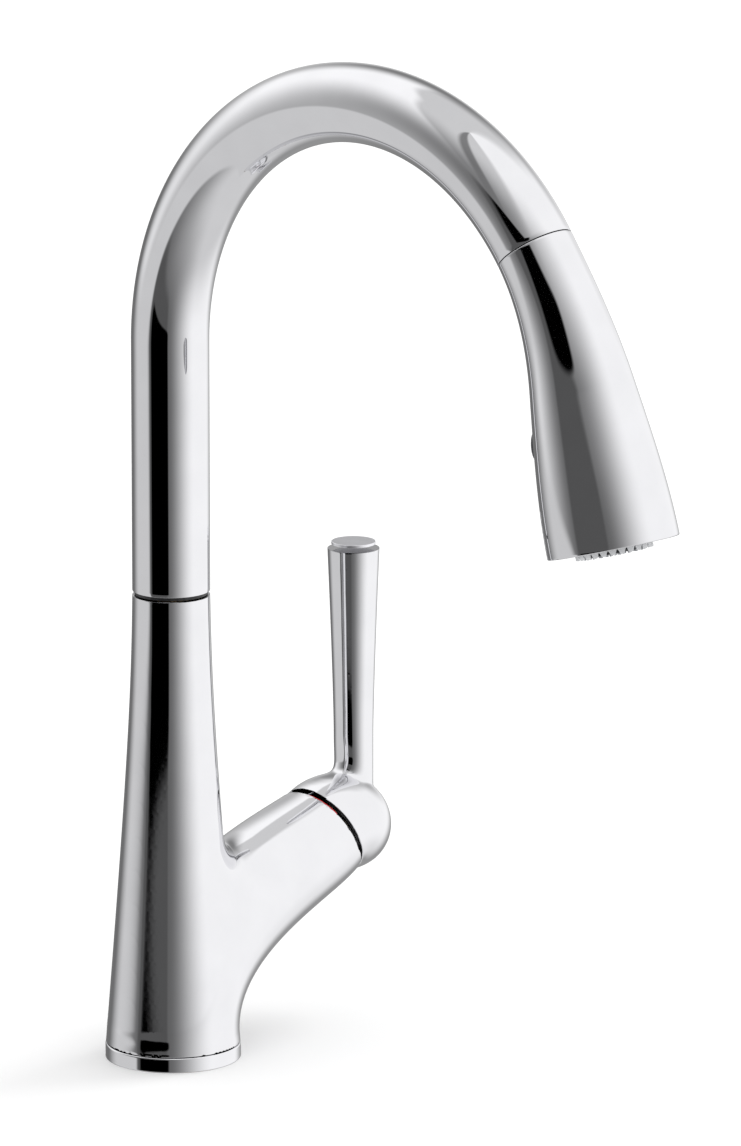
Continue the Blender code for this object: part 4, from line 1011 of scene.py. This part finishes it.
def makeHandle():
    look = handleLook
    start = mouthCentre + armAxis * look["gap"]
    top = Vector((look["x"], 0, look["waistHeight"]))
    count = 160
    spine = bezierLine((start, start + armAxis * look["reach"], top - up * look["lift"], top), count)
    share = np.linspace(0, 1, count + 1) ** look["taperCurve"]
    radii = look["hub"] + (look["waist"] - look["hub"]) * share * share * (3 - 2 * share)
    heights = np.linspace(look["waistHeight"], leverTop + 6 * mm, 60)[1:]
    lever = np.stack([np.full(59, look["x"]), np.zeros(59), heights], 1)
    flare = np.clip((heights - look["flareFrom"]) / (leverTop - look["flareFrom"]), 0, None)
    flare = flare ** look["flareCurve"]
    leverRadii = look["waist"] + (look["top"] - look["waist"]) * flare
    back = np.array(start - armAxis * 5 * mm)[None]
    line = np.concatenate([back, spine, lever])
    radii = np.concatenate([[look["hub"]], radii, leverRadii])
    half = 1 + count // 2
    # every sixth ring is enough for a start, and the two halves share a few of them
    halves = (slice(0, half + 1, 6), slice(half - 4, None, 6))
    shapes = [barShape(line[part], radii[part]) for part in halves]
    edge, topEdge = look["edge"], look["topEdge"]
    rims = [
        (start + armAxis * edge, -armAxis, look["hub"]),
        (Vector((look["x"], 0, leverTop - topEdge)), up, look["top"]),
    ]
    measure = alongLine(line, radii)
    piece = fineSkin("handleLever", shapes, measure, rims, look["voxel"], (look["elbow"], look["elbowReach"]))
    hubLip = lipPoints(look["hub"], edge, look["lip"])
    # the hollow is a ball about the tilt pivot, then a socket for the stem's sleeve
    inside = look["hub"] - look["lip"]
    toFace = bodyLook["pivotDepth"] + look["gap"]
    ball = sqrt(inside**2 + toFace**2)
    firstTurn, lastTurn = asin(inside / ball), asin(look["socket"] / ball)
    for k in range(1, 13):
        a = firstTurn + (lastTurn - firstTurn) * k / 12
        hubLip.append((ball * sin(a), edge + toFace - ball * cos(a)))
    hubLip.append((look["socket"], edge + look["gap"] - look["socketEnd"]))
    topLip = lipPoints(look["top"], topEdge, look["top"] - look["cap"])
    topLip.append((look["cap"], topEdge - look["capDepth"]))
    return withLips(piece, rims, [hubLip, topLip])


def makeLeverCap():
    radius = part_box("lever_cap")[1].x - handleLook["x"]
    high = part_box("lever_cap")[1].z
    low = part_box("lever_cap")[0].z
    corners = [(0, high, 0), (radius, high, 0.2 * mm), (radius, low, 0.1 * mm), (0, low, 0)]
    outline = roundedOutline(corners)
    return turnedPiece("leverCap", outline, Matrix.Translation((handleLook["x"], 0, 0)), 96)


dress(makeHandle(), "handle", "chrome", "handle_lever")
dress(makeLeverCap(), "handle", "satin_chrome", "lever_cap")
print("handle made")


# Temperature marks in the gap between arm and handle

markLook = {"ring": 19.3 * mm, "lift": 0.6 * mm, "width": 1.15 * mm, "thick": 0.5 * mm, "from": 3, "to": 50}


def makeMark(name, side):
    matrix = alongArm(bodyLook["pivotDepth"])
    rings = []
    steps = 48
    for k in range(steps + 1):
        turn = pi + side * radians(markLook["from"] + (markLook["to"] - markLook["from"]) * k / steps)
        end = min(k, steps - k) / 3
        taper = sqrt(max(1 - (1 - min(end, 1)) ** 2, 0.02))
        ring = []
        for j in range(12):
            a = 2 * pi * j / 12
            radius = markLook["ring"] + markLook["thick"] / 2 * taper * cos(a)
            height = markLook["lift"] + markLook["width"] / 2 * taper * sin(a)
            ring.append(matrix @ Vector((radius * cos(turn), radius * sin(turn), height)))
        rings.append(ring)
    return smoothed(linked(meshFrom(capped(ringsShape(rings)), name), name))


dress(makeMark("hotMark", 1), "base", "hot_red", "hot_mark")
dress(makeMark("coldMark", -1), "base", "cold_blue", "cold_mark")
print("marks made")


# Hose inside the spout, built at rest; in the real faucet it follows the wand when that is pulled

hoseLook = {"radius": 5.6 * mm, "from": 237 * mm, "back": 12.5 * mm, "near": 14 * mm, "rings": 420}


def makeHose():
    angle = archSweep - hoseLook["back"] / archRadius
    piece = linked(bpy.data.meshes.new("sprayHose"), "sprayHose")
    grown(piece, bentTube, {
        "Straight Before": archHeight - hoseLook["from"],
        "Bend Radius": archRadius,
        "Bend Angle": angle,
        "Straight After": 0.0,
        "Start Radius": hoseLook["radius"],
        "End Radius": hoseLook["radius"],
        "Rings": hoseLook["rings"],
        "Sides": 32,
        "Material": materials["hose_braid"],
    })
    piece.data.transform(Matrix.Translation((0, 0, hoseLook["from"])))
    shape = bmesh.new()
    shape.from_mesh(piece.data)
    capped(shape).to_mesh(piece.data)
    shape.free()
    smoothed(piece)
    piece.data.materials.clear()
    piece.data.materials.append(materials["hose_braid"])
    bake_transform(piece)
    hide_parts("spray_hose_spout")
    return piece


makeHose()
print("hose made")


# Floor, light and camera


floorLook = {"radius": 14.0, "colour": (0.93, 0.93, 0.93, 1.0), "roughness": 0.9}


def makeFloor():
    shape = bmesh.new()
    bmesh.ops.create_circle(shape, cap_ends=True, segments=96, radius=floorLook["radius"])
    floor = linked(meshFrom(shape, "floor"), "floor")
    made = bpy.data.materials.new("paleFloor")
    made.use_nodes = True
    shader = made.node_tree.nodes["Principled BSDF"]
    shader.inputs["Base Color"].default_value = floorLook["colour"]
    shader.inputs["Roughness"].default_value = floorLook["roughness"]
    shader.inputs["Specular IOR Level"].default_value = 0.0
    floor.data.materials.append(made)
    floor.visible_glossy = False


studio = {
    "sky": 1.08,
    "walls": 1.12,
    # what the chrome mirrors, one layer over the last: where its middle is (degrees round from +X and up),
    # how far it reaches, how soft its edge is, how square its corners are, and how it leans
    "layers": [
        {"at": (180, -90), "reach": (900, 56), "soft": 0.3, "square": 8, "light": 0.74},
        {"at": (105, 70), "reach": (110, 46), "soft": 0.1, "square": 4, "light": 0.74},
        {"at": (95, 22), "reach": (67, 48), "soft": 0.05, "square": 2, "light": 1.18},
        {"at": (175, 62), "reach": (5, 36), "soft": 0.5, "square": 6, "light": 0.26},
        {"at": (192, -4), "reach": (66, 46), "soft": 0.62, "square": 4, "light": 0.15},
        {"at": (105, -60), "reach": (58, 52), "soft": 0.05, "square": 8, "light": 0.70},
        {"at": (44, -30), "reach": (40, 26), "soft": 0.4, "square": 2, "light": 0.34},
        {"at": (72, -10), "reach": (26, 22), "soft": 0.7, "square": 2, "light": 0.18},
        {"at": (36, 22), "reach": (24, 18), "soft": 0.8, "square": 2, "light": 0.25},
        {"at": (188, -2), "reach": (27, 24), "soft": 0.1, "square": 6, "light": 0.10},
        {"at": (192, -11.9), "reach": (26, 5.1), "soft": 0.07, "square": 8, "light": 0.0},
        {"at": (190, 23), "reach": (22, 4.8), "soft": 0.15, "square": 6, "lean": 0.29, "light": 0.0},
    ],
    "lamp": {"at": (2.4, -0.5, 3.2), "aim": (0, 0, 0.1), "size": 1.6, "power": 30},
}


def makeWorld():
    # an even sky for everything but mirror reflections, which see the studio's panels instead
    world = bpy.data.worlds.new("studio")
    bpy.context.scene.world = world
    world.use_nodes = True
    w = Wiring(world.node_tree)
    background = world.node_tree.nodes["Background"]
    way = w.node("ShaderNodeSeparateXYZ", {0: w.node("ShaderNodeTexCoord").outputs["Generated"]}).outputs
    turn = w.math("DEGREES", w.math("ARCTAN2", way["Y"], way["X"]))
    height = w.math("DEGREES", w.math("ARCSINE", way["Z"]))
    light = studio["walls"]
    for layer in studio["layers"]:
        beside = w.math("WRAP", w.math("SUBTRACT", turn, float(layer["at"][0])), 180.0, -180.0)
        above = w.math("SUBTRACT", height, float(layer["at"][1]))
        if "lean" in layer:
            above = w.math("SUBTRACT", above, w.math("MULTIPLY", beside, layer["lean"]))
        across = w.math("ABSOLUTE", w.math("DIVIDE", beside, float(layer["reach"][0])))
        upward = w.math("ABSOLUTE", w.math("DIVIDE", above, float(layer["reach"][1])))
        square = float(layer["square"])
        total = w.math("ADD", w.math("POWER", across, square), w.math("POWER", upward, square))
        far = w.math("POWER", total, 1 / square)
        cover = w.node("ShaderNodeMapRange", {"Value": far, "From Min": 1 + layer["soft"],
                                              "From Max": 1 - layer["soft"]},
                       interpolation_type="SMOOTHSTEP").outputs[0]
        light = w.node("ShaderNodeMix", {"Factor": cover, 2: light, 3: layer["light"]}).outputs[0]
    glossy = w.node("ShaderNodeLightPath").outputs["Is Glossy Ray"]
    seen = w.node("ShaderNodeMix", {"Factor": glossy, 2: studio["sky"], 3: light}).outputs[0]
    w.join(seen, background.inputs["Strength"])
    background.inputs["Color"].default_value = (1.0, 1.0, 1.0, 1.0)


def makeLamp():
    lamp = studio["lamp"]
    data = bpy.data.lights.new("lamp", "AREA")
    data.shape = "DISK"
    data.size = lamp["size"]
    data.energy = lamp["power"]
    made = linked(data, "lamp")
    made.location = lamp["at"]
    made.rotation_mode = "QUATERNION"
    made.rotation_quaternion = (Vector(lamp["aim"]) - Vector(lamp["at"])).to_track_quat("-Z", "Y")
    made.visible_glossy = False


def makeCamera():
    view = {"place": (-2.828, -2.828, 1.124), "turn": radians(1.127), "dip": radians(13.048), "lens": 326.8}
    data = bpy.data.cameras.new("camera")
    data.lens = view["lens"]
    data.sensor_width = 36
    data.clip_start = 0.1
    data.clip_end = 100
    camera = linked(data, "camera")
    camera.location = view["place"]
    heading = radians(45) + view["turn"]
    forward = Vector((sin(heading) * cos(view["dip"]), cos(heading) * cos(view["dip"]), -sin(view["dip"])))
    camera.rotation_mode = "QUATERNION"
    camera.rotation_quaternion = forward.to_track_quat("-Z", "Y")
    bpy.context.scene.camera = camera


makeFloor()
makeWorld()
makeLamp()
makeCamera()
bpy.context.scene.view_settings.view_transform = "Standard"
